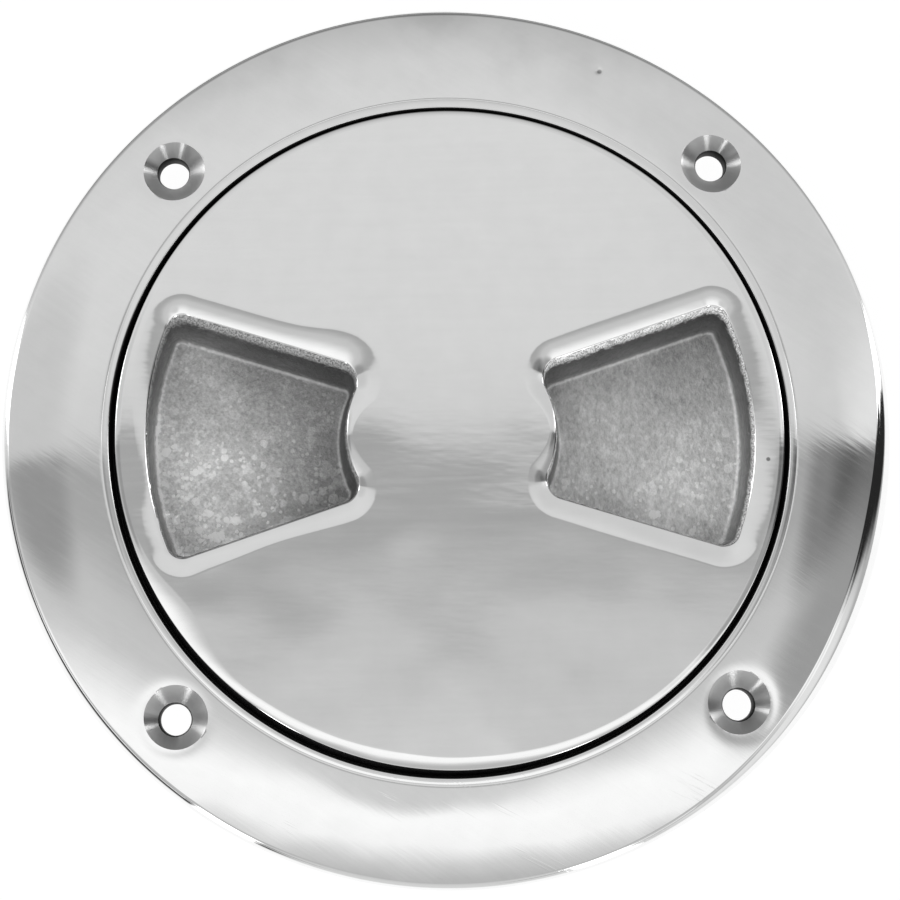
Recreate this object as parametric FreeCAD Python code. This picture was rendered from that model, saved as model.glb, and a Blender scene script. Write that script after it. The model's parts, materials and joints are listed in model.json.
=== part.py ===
import FreeCAD, Part
import math
import os

# A screw-in deck inspection plate, cast in stainless steel and polished: a flanged
# frame with a threaded neck, a cover with two finger pockets, and a rubber seal ring.
# Millimetres and degrees. The origin is the centre of the flange's underside, which
# lies on the deck. +Z points out of the deck, and the two pockets lie along X.

# Thread between cover and frame, right-handed, one start
thread_crest_radius = 49.9
thread_depth = 1.2
thread_pitch = 4.0
thread_crest_width = 0.9
thread_flank_angle = 28.0
thread_radial_gap = 0.35
thread_flank_gap = 0.3
cover_thread_turns = 1.75
cover_thread_end_margin = 0.4
frame_thread_overrun = 4.0
thread_lead_in = 1.4

# Seal ring, squeezed between the cover's rim and the frame's ledge
seal_width = 2.5
seal_height = 1.9
seal_seat_gap = 0.05
seal_side_gap = 0.3

# Frame
flange_width = 16.8
flange_thickness = 4.8
flange_crown_radius = 105.0
flange_edge_roll = 3.4
recess_lip_round = 1.1
neck_wall = 3.55
neck_depth = 18.0
neck_root_fillet = 0.8
neck_end_chamfer = 0.8

# Screw holes
screw_inset = 8.05
screw_count = 4
screw_first_angle = 45.0
screw_hole_diameter = 4.8
countersink_diameter = 9.8
countersink_angle = 90.0
countersink_edge_round = 0.3

# Cover
cover_gap = 0.8
cover_proud = 0.2
cover_rim_thickness = 2.6
cover_edge_round = 1.0
cover_plate_thickness = 3.2
skirt_wall = 2.5
skirt_depth = 14.5
skirt_inner_fillet = 1.5
skirt_end_chamfer = 0.7

# Finger pockets in the cover
pocket_depth = 10.5
pocket_rim_wall = 1.8
pocket_hub_radius = 16.9
pocket_side_angle = 18.0
pocket_side_offset = 4.6
pocket_outer_corner = 2.6
pocket_hub_corner = 2.6
pocket_draft = 7.0
pocket_floor_fillet = 0.8
pocket_mouth_roll = 3.0
pocket_wall = 2.2
pocket_shell_fillet = 1.2

# Sizes that follow from the ones above, from the thread outwards
skirt_radius = thread_crest_radius - thread_depth
skirt_inner_radius = skirt_radius - skirt_wall
bore_radius = skirt_radius + thread_radial_gap
groove_radius = thread_crest_radius + thread_radial_gap
neck_radius = groove_radius + neck_wall
collar_radius = bore_radius + thread_lead_in - thread_radial_gap
seal_inner_radius = collar_radius + seal_side_gap
recess_radius = seal_inner_radius + seal_width + seal_side_gap
cover_radius = recess_radius - cover_gap
flange_radius = recess_radius + flange_width
screw_circle_radius = recess_radius + screw_inset
pocket_outer_radius = skirt_radius - pocket_rim_wall

# Heights, from the cover's top downwards
cover_top = flange_thickness + cover_proud
rim_under = cover_top - cover_rim_thickness
ledge_height = rim_under - seal_height - 2 * seal_seat_gap
collar_end = ledge_height + thread_radial_gap
plate_under = cover_top - cover_plate_thickness
pocket_floor = cover_top - pocket_depth
shell_end = pocket_floor - pocket_wall
skirt_end = cover_top - skirt_depth
neck_end = -neck_depth
thread_root_width = thread_crest_width + 2 * thread_depth * math.tan(math.radians(thread_flank_angle))
cover_thread_start = skirt_end + cover_thread_end_margin + thread_root_width / 2
frame_thread_start = cover_thread_start - frame_thread_overrun

spare = 1.0
same_point = 1e-6
up = FreeCAD.Vector(0, 0, 1)
centre = FreeCAD.Vector(0, 0, 0)


def section_point(radius, height):
    return FreeCAD.Vector(radius, 0, height)


def line(start, end):
    return Part.LineSegment(start, end).toShape()


def arc_about(middle, radius, start_angle, end_angle, place):
    """An arc about middle, with place making a 3-D point of each pair of coordinates."""
    points = []
    for angle in (start_angle, (start_angle + end_angle) / 2, end_angle):
        turn = math.radians(angle)
        points.append(place(middle[0] + radius * math.cos(turn), middle[1] + radius * math.sin(turn)))
    return Part.Arc(*points).toShape()


def joined(pieces):
    """A closed wire through edges given in order, with straight lines across what is open."""
    edges = []
    for edge, following in zip(pieces, pieces[1:] + pieces[:1]):
        end = edge.lastVertex(True).Point
        start = following.firstVertex(True).Point
        edges.append(edge)
        if end.distanceToPoint(start) > same_point:
            edges.append(line(end, start))
    return Part.Wire(edges)


def turned(wire):
    """The solid that a section turns out about the Z axis."""
    return Part.Face(wire).revolve(centre, up, 360)


def edges_at(shape, height, within):
    """The edges that lie flat at a height, no further from the axis than within."""
    found = []
    for edge in shape.Edges:
        box = edge.BoundBox
        flat = abs(box.ZMin - height) < 1e-4 and abs(box.ZMax - height) < 1e-4
        reach = max(math.hypot(vertex.X, vertex.Y) for vertex in edge.Vertexes)
        if flat and reach < within:
            found.append(edge)
    return found


def thread(root_radius, crest_radius, crest_width, start_height, turns):
    """A helical ridge that stands on root_radius. Every ridge is in phase with every other."""
    depth = crest_radius - root_radius
    buried = 0.3 * depth
    slope = math.tan(math.radians(thread_flank_angle))
    half_crest = crest_width / 2
    half_base = half_crest + (depth + buried) * slope
    corners = [
        section_point(root_radius - buried, start_height - half_base),
        section_point(crest_radius, start_height - half_crest),
        section_point(crest_radius, start_height + half_crest),
        section_point(root_radius - buried, start_height + half_base),
    ]
    section = Part.makePolygon(corners + corners[:1])
    path = Part.Wire(Part.makeHelix(thread_pitch, turns * thread_pitch, root_radius).Edges)
    path.translate(FreeCAD.Vector(0, 0, start_height))
    sweep = Part.BRepOffsetAPI.MakePipeShell(path)
    sweep.setBiNormalMode(up)
    sweep.add(section)
    sweep.build()
    sweep.makeSolid()
    ridge = sweep.shape()
    ridge.rotate(centre, up, 360 * start_height / thread_pitch)
    return ridge


def pocket_outline(inset, height):
    """The sector outline of a finger pocket, drawn in by inset all round."""
    outer = pocket_outer_radius - inset
    hub = pocket_hub_radius + inset
    side = pocket_side_offset - inset
    outer_corner = pocket_outer_corner - inset
    hub_corner = pocket_hub_corner - inset

    def place(x, y):
        return FreeCAD.Vector(x, y, height)

    def half(sign):
        """Tangent points and corner centres of one side, as angles and distances from the hub."""
        outer_reach = math.sqrt((outer - outer_corner) ** 2 - (side - outer_corner) ** 2)
        hub_reach = math.sqrt((hub + hub_corner) ** 2 - (side - hub_corner) ** 2)
        along = (math.cos(math.radians(pocket_side_angle)), sign * math.sin(math.radians(pocket_side_angle)))
        away = (-math.sin(math.radians(pocket_side_angle)), sign * math.cos(math.radians(pocket_side_angle)))
        at_outer = [outer_reach * a + (side - outer_corner) * n for a, n in zip(along, away)]
        at_hub = [hub_reach * a + (side - hub_corner) * n for a, n in zip(along, away)]
        return at_outer, at_hub

    (upper_outer, upper_hub), (lower_outer, lower_hub) = half(1), half(-1)
    outer_turn = math.degrees(math.atan2(upper_outer[1], upper_outer[0]))
    hub_turn = math.degrees(math.atan2(upper_hub[1], upper_hub[0]))
    side_turn = 90 + pocket_side_angle
    return joined([
        arc_about(centre, outer, -outer_turn, outer_turn, place),
        arc_about(upper_outer, outer_corner, outer_turn, side_turn, place),
        arc_about(upper_hub, hub_corner, side_turn, 180 + hub_turn, place),
        arc_about(centre, hub, hub_turn, -hub_turn, place),
        arc_about(lower_hub, hub_corner, 180 - hub_turn, 360 - side_turn, place),
        arc_about(lower_outer, outer_corner, 360 - side_turn, 360 - outer_turn, place),
    ])


def pocket_block(grown, end_height, end_fillet):
    """A drafted block of the pocket's form, grown outwards, with a filleted lower end."""
    draft = math.tan(math.radians(pocket_draft))
    top = cover_top + spare
    block = Part.makeLoft([
        pocket_outline(-grown - spare * draft, top),
        pocket_outline(-grown + (cover_top - end_height) * draft, end_height),
    ], True, True)
    return block.makeFillet(end_fillet, edges_at(block, end_height, recess_radius))


def both_sides(block):
    """A block on the right-hand side and the same one turned to the left."""
    opposite = block.copy()
    opposite.rotate(centre, up, 180)
    return [block, opposite]


def frame_section():
    """Half the frame's section before its bore: neck, crowned flange, rolled edge and recess."""
    crown_start = recess_radius + recess_lip_round
    crown_centre = (crown_start, flange_thickness - flange_crown_radius)
    roll_out = flange_radius - flange_edge_roll - crown_start
    crown_turn = math.degrees(math.asin(roll_out / (flange_crown_radius - flange_edge_roll)))
    roll_height = (flange_crown_radius - flange_edge_roll) * math.cos(math.radians(crown_turn))
    roll_centre = (flange_radius - flange_edge_roll, crown_centre[1] + roll_height)
    lip_centre = (crown_start, flange_thickness - recess_lip_round)
    fillet_centre = (neck_radius + neck_root_fillet, -neck_root_fillet)
    return joined([
        line(section_point(0, neck_end), section_point(neck_radius - neck_end_chamfer, neck_end)),
        line(
            section_point(neck_radius, neck_end + neck_end_chamfer),
            section_point(neck_radius, -neck_root_fillet),
        ),
        arc_about(fillet_centre, neck_root_fillet, 180, 90, section_point),
        line(section_point(flange_radius, 0), section_point(flange_radius, roll_centre[1])),
        arc_about(roll_centre, flange_edge_roll, 0, 90 - crown_turn, section_point),
        arc_about(crown_centre, flange_crown_radius, 90 - crown_turn, 90, section_point),
        arc_about(lip_centre, recess_lip_round, 90, 180, section_point),
        line(section_point(recess_radius, ledge_height), section_point(0, ledge_height)),
    ])


def threaded_core():
    """What the frame's bore takes out: a plain core with the thread's groove around it."""
    length = neck_depth + ledge_height + 4 * spare
    core = Part.makeCylinder(bore_radius, length, FreeCAD.Vector(0, 0, neck_end - 2 * spare))
    groove_crest = thread_crest_width + 2 * thread_flank_gap
    rise = ledge_height + spare - frame_thread_start
    return core.fuse(thread(bore_radius, groove_radius, groove_crest, frame_thread_start, rise / thread_pitch))


def bore_chamfer(mouth_height, size, outward):
    """A 45 degree cone that opens the bore's mouth, outward being 1 above and -1 below."""
    depth = size + spare
    base = mouth_height - outward * depth
    tip = mouth_height + outward * spare
    return turned(Part.makePolygon([
        section_point(0, base),
        section_point(bore_radius + size - depth, base),
        section_point(bore_radius + size + spare, tip),
        section_point(0, tip),
        section_point(0, base),
    ]))


def screw_hole():
    """A countersunk screw hole on the X axis, with its mouth on the crowned flange."""
    run = screw_inset - recess_lip_round
    face_drop = flange_crown_radius - math.sqrt(flange_crown_radius**2 - run**2)
    mouth = flange_thickness - face_drop
    hole = screw_hole_diameter / 2
    cone_slope = math.tan(math.radians(countersink_angle / 2))
    cone_end = mouth - (countersink_diameter - screw_hole_diameter) / 2 / cone_slope
    above = mouth + spare
    section = Part.makePolygon([
        section_point(0, -spare),
        section_point(hole, -spare),
        section_point(hole, cone_end),
        section_point(hole + (above - cone_end) * cone_slope, above),
        section_point(0, above),
        section_point(0, -spare),
    ])
    cutter = turned(section)
    cutter.translate(FreeCAD.Vector(screw_circle_radius, 0, 0))
    return cutter


def round_countersinks(shape):
    """The countersinks' mouths, eased where the face was polished after drilling."""
    mouths = []
    for edge in shape.Edges:
        middle = edge.BoundBox.Center
        off_circle = abs(math.hypot(middle.x, middle.y) - screw_circle_radius)
        wide = abs(edge.BoundBox.DiagonalLength - countersink_diameter * math.sqrt(2)) < spare
        if off_circle < spare and wide and middle.z > flange_thickness / 2:
            mouths.append(edge)
    return shape.makeFillet(countersink_edge_round, mouths)


def make_frame():
    body = turned(frame_section())
    hole = screw_hole()
    for number in range(screw_count):
        cutter = hole.copy()
        cutter.rotate(centre, up, screw_first_angle + number * 360 / screw_count)
        body = body.cut(cutter)
    body = round_countersinks(body)
    body = body.cut(threaded_core())
    body = body.cut(bore_chamfer(ledge_height, thread_lead_in, 1))
    return body.cut(bore_chamfer(neck_end, neck_end_chamfer, -1))


def cover_section():
    """Half the cover's section, without its pockets: top plate, rim, collar and skirt."""
    edge_centre = (cover_radius - cover_edge_round, cover_top - cover_edge_round)
    inner_centre = (skirt_inner_radius - skirt_inner_fillet, plate_under - skirt_inner_fillet)
    return joined([
        line(section_point(0, plate_under), section_point(inner_centre[0], plate_under)),
        arc_about(inner_centre, skirt_inner_fillet, 90, 0, section_point),
        line(
            section_point(skirt_inner_radius, skirt_end),
            section_point(skirt_radius - skirt_end_chamfer, skirt_end),
        ),
        line(
            section_point(skirt_radius, skirt_end + skirt_end_chamfer),
            section_point(skirt_radius, collar_end),
        ),
        line(section_point(collar_radius, collar_end), section_point(collar_radius, rim_under)),
        line(section_point(cover_radius, rim_under), section_point(cover_radius, edge_centre[1])),
        arc_about(edge_centre, cover_edge_round, 0, 90, section_point),
        line(section_point(edge_centre[0], cover_top), section_point(0, cover_top)),
    ])


def make_cover():
    body = turned(cover_section())
    inside = Part.makeCylinder(
        (skirt_inner_radius + skirt_radius) / 2,
        plate_under + cover_plate_thickness / 2 - skirt_end,
        FreeCAD.Vector(0, 0, skirt_end),
    )
    shell = pocket_block(pocket_wall, shell_end, pocket_shell_fillet).common(inside)
    pocket = pocket_block(0, pocket_floor, pocket_floor_fillet)
    for block in both_sides(shell):
        body = body.fuse(block)
    for block in both_sides(pocket):
        body = body.cut(block)
    body = body.removeSplitter()
    mouth = edges_at(body, cover_top, pocket_outer_radius + spare)
    body = body.makeFillet(pocket_mouth_roll, mouth)
    ridge = thread(skirt_radius, thread_crest_radius, thread_crest_width, cover_thread_start, cover_thread_turns)
    return body.fuse(ridge)


def make_seal_ring():
    """A round cord squeezed flat above and below."""
    end_round = seal_height / 2
    middle = ledge_height + seal_seat_gap + end_round
    inner_centre = (seal_inner_radius + end_round, middle)
    outer_centre = (seal_inner_radius + seal_width - end_round, middle)
    return turned(joined([
        arc_about(outer_centre, end_round, -90, 90, section_point),
        arc_about(inner_centre, end_round, 90, 270, section_point),
    ]))


pieces = {
    "frame": make_frame(),
    "cover": make_cover(),
    "seal_ring": make_seal_ring(),
}

os.makedirs("parts", exist_ok=True)
for name, shape in pieces.items():
    print(name, "solids", len(shape.Solids), "valid", shape.isValid(), "volume", round(shape.Volume, 1))
    shape.exportStep("parts/" + name + ".step")
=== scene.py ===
# %% [markdown]
# # A screw-in deck inspection plate
# The object is a round stainless plate that closes an access hole in a boat's deck: a
# flanged frame, a cover that screws into it, and a rubber ring between the two. All of
# its look is in the metal. The top is polished like a mirror, the screw holes are freshly
# turned, and the floors of the two finger pockets are left as they came from the sand.
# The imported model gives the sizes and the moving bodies, and this lesson dresses it.

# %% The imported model
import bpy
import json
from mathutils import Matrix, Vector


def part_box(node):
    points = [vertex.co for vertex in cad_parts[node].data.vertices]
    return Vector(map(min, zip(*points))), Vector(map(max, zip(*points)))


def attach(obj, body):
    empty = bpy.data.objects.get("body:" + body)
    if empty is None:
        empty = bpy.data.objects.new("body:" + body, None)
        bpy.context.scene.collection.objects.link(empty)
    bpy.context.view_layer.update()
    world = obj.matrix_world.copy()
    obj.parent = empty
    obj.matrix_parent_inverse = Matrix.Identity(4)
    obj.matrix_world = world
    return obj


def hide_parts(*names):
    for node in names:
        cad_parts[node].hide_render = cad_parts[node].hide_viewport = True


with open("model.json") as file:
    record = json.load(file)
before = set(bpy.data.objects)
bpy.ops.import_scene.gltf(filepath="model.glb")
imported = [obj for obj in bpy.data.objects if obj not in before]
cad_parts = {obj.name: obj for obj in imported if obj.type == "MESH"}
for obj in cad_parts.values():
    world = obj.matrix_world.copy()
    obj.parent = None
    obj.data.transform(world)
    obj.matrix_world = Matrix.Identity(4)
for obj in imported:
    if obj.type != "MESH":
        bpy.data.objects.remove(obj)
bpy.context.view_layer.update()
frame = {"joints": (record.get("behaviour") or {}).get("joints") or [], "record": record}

# %% [markdown]
# ## Sizes
# A maker reads sizes off the drawing and measures nothing twice. The same could be done
# here by typing every number again, but then a change in the model would leave the
# looks behind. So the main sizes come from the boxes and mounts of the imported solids. What
# no box tells, such as the thread's depth, the pockets and the roundings, is named here.
# Sections are drawn in millimetres, because they are easier to read, and each mesh becomes
# metres once, at its end.

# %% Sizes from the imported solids
import json
import math
import bmesh
import bpy
import numpy as np
from mathutils import Matrix, Vector
from mathutils.geometry import delaunay_2d_cdt, tessellate_polygon

MM = 0.001


def box_in_mm(node):
    return [[round(value / MM, 2) for value in corner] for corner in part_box(node)]


frame_low, frame_high = box_in_mm("frame")
cover_low, cover_high = box_in_mm("cover")
ring_low, ring_high = box_in_mm("seal_ring")
mounts = {mount["name"]: mount for mount in frame["record"]["mounts"]}
joints = {joint["name"]: joint for joint in frame["joints"]}

flange_radius, flange_top, neck_end = frame_high[0], frame_high[2], frame_low[2]
cover_radius, cover_top, skirt_end = cover_high[0], cover_high[2], cover_low[2]
ring_outer, ring_under, ring_top = ring_high[0], ring_low[2], ring_high[2]
neck_radius = mounts["deck_neck"]["dims"]["r_mm"]
neck_wall = 3.55
radial_gap = 0.35
screw_count = mounts["screw_holes"]["dims"]["count"]
screw_circle = mounts["screw_holes"]["dims"]["pcd_mm"] / 2
screw_hole_radius = mounts["screw_holes"]["dims"]["hole_r_mm"]
cover_turns = math.radians(joints["cover_turn"]["range_deg"][1]) / math.tau
thread_pitch = joints["cover_rise"]["range_m"][1] / MM / cover_turns
print("flange radius", flange_radius, "top", flange_top, "mm")
print("cover radius", cover_radius, "top", cover_top, "mm, pitch", round(thread_pitch, 3))

# %% Sizes of the frame's section
thread_crest = neck_radius - neck_wall - radial_gap
thread_depth = 1.2
skirt_radius = thread_crest - thread_depth
bore_radius = skirt_radius + radial_gap
groove_radius = thread_crest + radial_gap
cover_gap = 0.8
recess_radius = cover_radius + cover_gap
lip_band = 1.1
lip_round = 0.3
crown_radius = 105.0
ledge_height = 0.4
lead_in = 1.4
neck_round = 0.8
screw_first_angle = 45.0
countersink_radius = 4.9
hold = 0.02  # a short step that holds a shape beside a round
print("recess radius", round(recess_radius, 2), "bore radius", round(bore_radius, 2), "mm")

# %% Sizes of the cover's section
edge_drop = 0.8
rim_under = 2.4
collar_radius = bore_radius + lead_in - radial_gap
collar_end = 0.75
skirt_wall = 2.5
skirt_inner = skirt_radius - skirt_wall
skirt_chamfer = 0.7
plate_under = 1.8
inner_round = 1.5
thread_crest_width = 0.9
thread_flank = math.radians(28)
thread_turns = 1.75
thread_margin = 0.4
print("skirt from", collar_end, "down to", skirt_end, "mm, radius", round(skirt_radius, 2))

# %% Sizes of the finger pockets
pocket_rim_wall = 1.8
pocket_outer = skirt_radius - pocket_rim_wall
pocket_hub = 16.9
pocket_side_angle = math.radians(18)
pocket_side_offset = 4.6
pocket_outer_corner = 2.0
pocket_hub_corner = 2.4
pocket_draft = math.radians(7)
pocket_floor = -5.5
pocket_floor_round = 0.8
pocket_wall = 2.2
shell_end = pocket_floor - pocket_wall
shell_round = 1.2
print("pockets from radius", pocket_hub, "to", round(pocket_outer, 2), "floor at", pocket_floor)

# %% [markdown]
# ## Drawing a section and turning it
# Both castings are round, so nearly all of their faces come from a section turned about
# the axis. Blender's Screw or Spin would do it, but here some rows change on the way
# round: both edges are rolled off more at one side than at the other, and the polishing
# wheel has sunk the flange a little around each screw hole. A grid of radii and heights, one
# row for each point of the section and one column for each angle, can hold both, so the
# turning is done with arrays.


# %% Arcs of a section
def arc(middle, radius, start, end, steps):
    """Points on an arc from start to end, in degrees, as pairs of radius and height."""
    return [
        (middle[0] + radius * math.cos(turn), middle[1] + radius * math.sin(turn))
        for turn in np.radians(np.linspace(start, end, steps + 1))
    ]


# %% Columns of the grid
def even_columns(count):
    return np.linspace(0, math.tau, count, endpoint=False)


def screw_angles():
    """The bearing of each screw hole, in degrees."""
    return [screw_first_angle + 360 / screw_count * number for number in range(screw_count)]


def frame_columns(coarse, fine, reach):
    """Angles round the frame, closer together within reach of each screw hole."""
    angles = []
    quarter = 360 / screw_count
    for middle in screw_angles():
        near = np.linspace(middle - reach, middle + reach, int(2 * reach / fine), endpoint=False)
        far_count = int((quarter - 2 * reach) / coarse)
        far = np.linspace(middle + reach, middle + quarter - reach, far_count, endpoint=False)
        angles.extend([*near, *far])
    return np.radians(np.array(angles))


# %% A turned mesh
def turned(radii, heights, angles, materials):
    """A closed bmesh of a grid, with a row for each point of the section."""
    made = bmesh.new()
    rows, columns = radii.shape
    verts = []
    for row in range(rows):
        x = radii[row] * np.cos(angles)
        y = radii[row] * np.sin(angles)
        verts.append([made.verts.new(place) for place in zip(x, y, heights[row])])
    for row in range(rows):
        after = (row + 1) % rows
        for column in range(columns):
            beside = (column + 1) % columns
            above, under = verts[row], verts[after]
            face = made.faces.new([above[column], above[beside], under[beside], under[column]])
            face.material_index = materials[row]
            face.smooth = True
    bmesh.ops.remove_doubles(made, verts=made.verts, dist=1e-5)
    bmesh.ops.recalc_face_normals(made, faces=made.faces)
    return made


def section_rows(runs, columns):
    """Grids of radius and height, and a material for each row, from runs of section points."""
    points, materials = [], []
    for material, run in runs:
        points.extend(run)
        materials.extend([material] * len(run))
    materials = materials[1:] + materials[:1]
    radii = np.stack([np.broadcast_to(radius, columns) for radius, _ in points])
    heights = np.stack([np.broadcast_to(height, columns) for _, height in points])
    return radii, heights, materials


# %% From a bmesh to an object
def piece_from(made, name, materials):
    """An object in the scene that holds a bmesh, with its materials in their slots."""
    mesh = bpy.data.meshes.new(name)
    made.to_mesh(mesh)
    made.free()
    for material in materials:
        mesh.materials.append(material)
    piece = bpy.data.objects.new(name, mesh)
    bpy.context.collection.objects.link(piece)
    return piece


def face_outwards(piece):
    """Turns the faces of a closed piece so that their normals point out of it."""
    made = bmesh.new()
    made.from_mesh(piece.data)
    bmesh.ops.recalc_face_normals(made, faces=made.faces)
    made.to_mesh(piece.data)
    made.free()


# %% Modifiers and Booleans
def settle(piece):
    """Replaces a piece's mesh by what its modifiers make of it, and removes them."""
    graph = bpy.context.evaluated_depsgraph_get()
    result = bpy.data.meshes.new_from_object(piece.evaluated_get(graph))
    piece.modifiers.clear()
    piece.data = result
    result.name = piece.name


def combine(piece, other, operation):
    """Joins a piece with another or cuts the other out of it, and removes the other."""
    step = piece.modifiers.new(operation.lower(), "BOOLEAN")
    step.operation = operation
    step.solver = "EXACT"
    step.object = other
    settle(piece)
    bpy.data.objects.remove(other)


# %% [markdown]
# ## Node helpers
# Materials and Geometry Nodes trees are both graphs of nodes. They can be drawn by hand in
# the editor, but a script that builds them shows every value. One small function adds a
# node, sets its inputs by name and links what is given as a socket. The ones after it
# name the steps that come back in every graph. The last ones open a Geometry Nodes tree
# with named inputs, so that a modifier can be given its sizes, and run it on a piece.


# %% Adding a node
def add_node(tree, kind, inputs=None, **settings):
    """Adds a node. An input that is a socket is linked, and any other value is set."""
    made = tree.nodes.new(kind)
    for name, value in settings.items():
        setattr(made, name, value)
    for name, value in (inputs or {}).items():
        if isinstance(value, bpy.types.NodeSocket):
            tree.links.new(value, made.inputs[name])
        else:
            made.inputs[name].default_value = value
    return made


def calc(tree, operation, first, second=0.0, third=0.0):
    """The output of a math node."""
    inputs = {0: first, 1: second, 2: third}
    return add_node(tree, "ShaderNodeMath", inputs, operation=operation).outputs[0]


def vector_calc(tree, operation, first, second=(0.0, 0.0, 0.0)):
    """The outputs of a vector math node, called Vector and Value."""
    inputs = {0: first, 1: second}
    return add_node(tree, "ShaderNodeVectorMath", inputs, operation=operation).outputs


def parted(tree, vector):
    """The X, Y and Z of a vector, as three outputs."""
    return add_node(tree, "ShaderNodeSeparateXYZ", {0: vector}).outputs


# %% Passages and greys
def remap(tree, value, start, end, low=0.0, high=1.0):
    """Low at the start and high at the end of a value, with a soft passage between."""
    return add_node(tree, "ShaderNodeMapRange", {
        "Value": value, "From Min": start, "From Max": end, "To Min": low, "To Max": high,
    }, interpolation_type="SMOOTHSTEP").outputs[0]


def centred(tree, value):
    """A value between nought and one, moved to lie about nought."""
    return calc(tree, "SUBTRACT", value, 0.5)


def grey(level):
    return (level, level, level, 1.0)


def grey_of(tree, level):
    """A grey colour whose level comes from a node."""
    return add_node(tree, "ShaderNodeCombineColor", {0: level, 1: level, 2: level}).outputs[0]


def mixed(tree, share, first, second):
    """A colour between two others."""
    inputs = {"Factor": share, 6: first, 7: second}
    return add_node(tree, "ShaderNodeMix", inputs, data_type="RGBA").outputs[2]


# %% Opening a Geometry Nodes tree
def open_tree(name, **sizes):
    """A tree with a geometry input, a material and a named input for each size."""
    tree = bpy.data.node_groups.new(name, "GeometryNodeTree")
    tree.is_modifier = True
    sockets = tree.interface
    sockets.new_socket("Geometry", in_out="OUTPUT", socket_type="NodeSocketGeometry")
    sockets.new_socket("Geometry", in_out="INPUT", socket_type="NodeSocketGeometry")
    sockets.new_socket("Material", in_out="INPUT", socket_type="NodeSocketMaterial")
    for label, value in sizes.items():
        kind = "NodeSocketInt" if isinstance(value, int) else "NodeSocketFloat"
        sockets.new_socket(label, in_out="INPUT", socket_type=kind)
    return tree, add_node(tree, "NodeGroupInput").outputs


def close_tree(tree, geometry, material):
    """Ends a tree: instances become real faces, and the faces get their material."""
    real = add_node(tree, "GeometryNodeRealizeInstances", {"Geometry": geometry})
    finish = add_node(tree, "GeometryNodeSetMaterial", {
        "Geometry": real.outputs[0], "Material": material,
    })
    add_node(tree, "NodeGroupOutput", {"Geometry": finish.outputs[0]})


# %% Running a tree on a piece
def run_tree(piece, tree, material, **sizes):
    """Runs a tree on a piece with these sizes, and keeps the mesh that it makes."""
    step = piece.modifiers.new(tree.name, "NODES")
    step.node_group = tree
    values = {"Material": material, **sizes}
    for item in tree.interface.items_tree:
        if item.in_out == "INPUT" and item.name in values:
            step[item.identifier] = values[item.name]
    settle(piece)
    return piece


def empty_piece(name):
    piece = bpy.data.objects.new(name, bpy.data.meshes.new(name))
    bpy.context.collection.objects.link(piece)
    return piece


# %% [markdown]
# ## The polished finish
# A buffed casting is a mirror that is not quite true. Slow waves are left by the belt, the
# face is hollowed where a hand leaned on the wheel, fine streaks run the way the belt
# ran, and small scratches catch the light. A flat metallic shader would look like a
# computer's chrome, and real dents would need far finer faces than a mirror forgives. So
# the normal is moved by bumps: waves that grow towards the front, shallow dents between and
# beside the pockets, and streaks, which change the roughness as well. All of it reads
# Object coordinates, so it stays with the piece when the cover is screwed out.


# %% Noise and bumps
def noise(tree, coordinates, scale, detail, roughness=0.5):
    return add_node(tree, "ShaderNodeTexNoise", {
        "Vector": coordinates, "Scale": scale, "Detail": detail, "Roughness": roughness,
    }).outputs[0]


def mapped(tree, coordinates, turn=0.0, stretch=(1.0, 1.0, 1.0)):
    """Coordinates that are stretched, and then turned about Z by degrees."""
    return add_node(tree, "ShaderNodeMapping", {
        "Vector": coordinates, "Rotation": (0.0, 0.0, math.radians(turn)), "Scale": stretch,
    }).outputs[0]


def streaks(tree, coordinates, stretch, detail=3.0, turn=0.0):
    """Noise that is drawn out along one way, as a polishing belt leaves it."""
    placed = mapped(tree, mapped(tree, coordinates, turn), stretch=stretch)
    return noise(tree, placed, 1.0, detail, 0.6)


def bumped(tree, height, distance, strength=1.0, normal=None):
    """A normal that a height bends, where a height of one stands for a distance in metres."""
    inputs = {"Strength": strength, "Distance": distance, "Height": height}
    if normal is not None:
        inputs["Normal"] = normal
    return add_node(tree, "ShaderNodeBump", inputs).outputs[0]


# %% Waves, dents and spots
wave_height = 2.4e-5
micron = 1e-6


def uneven(tree, coordinates, scale, strongest, start, end):
    """Slow waves that grow along Y between two places in millimetres."""
    waves = noise(tree, coordinates, scale, 1.0)
    y = parted(tree, coordinates)[1]
    strength = remap(tree, y, end * MM, start * MM, wave_height * strongest, wave_height)
    return calc(tree, "MULTIPLY", centred(tree, waves), strength)


def away_from(tree, coordinates, x, y):
    """How far a point lies from a place on the plate, seen from above, in metres."""
    offset = vector_calc(tree, "SUBTRACT", coordinates, (x * MM, y * MM, 0.0))["Vector"]
    flat = vector_calc(tree, "MULTIPLY", offset, (1.0, 1.0, 0.0))["Vector"]
    return vector_calc(tree, "LENGTH", flat)["Value"]


def dented(tree, coordinates, dents, base):
    """Takes shallow, round dents from a height, each with its X, Y, reach and depth."""
    for x, y, reach, depth in dents:
        away = away_from(tree, coordinates, x, y)
        share = calc(tree, "POWER", calc(tree, "DIVIDE", away, reach * MM), 2.0)
        bowl = calc(tree, "POWER", math.e, calc(tree, "MULTIPLY", share, -1.0))
        base = calc(tree, "MULTIPLY_ADD", bowl, -depth * micron, base)
    return base


def spot(tree, coordinates, x, y, radius):
    """One at a place in millimetres and nought beyond a radius, with a soft rim."""
    away = away_from(tree, coordinates, x, y)
    return remap(tree, away, radius * MM, radius * MM * 0.5)


# %% Polished steel nodes
# The darkest grey serves for stains, and for the painted shade at the flange's nick
bright_steel, hazy_steel, stain_and_shade_steel = grey(0.95), grey(0.905), grey(0.30)
smooth, dull = 0.04, 0.08
haze_scale = 260.0


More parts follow.
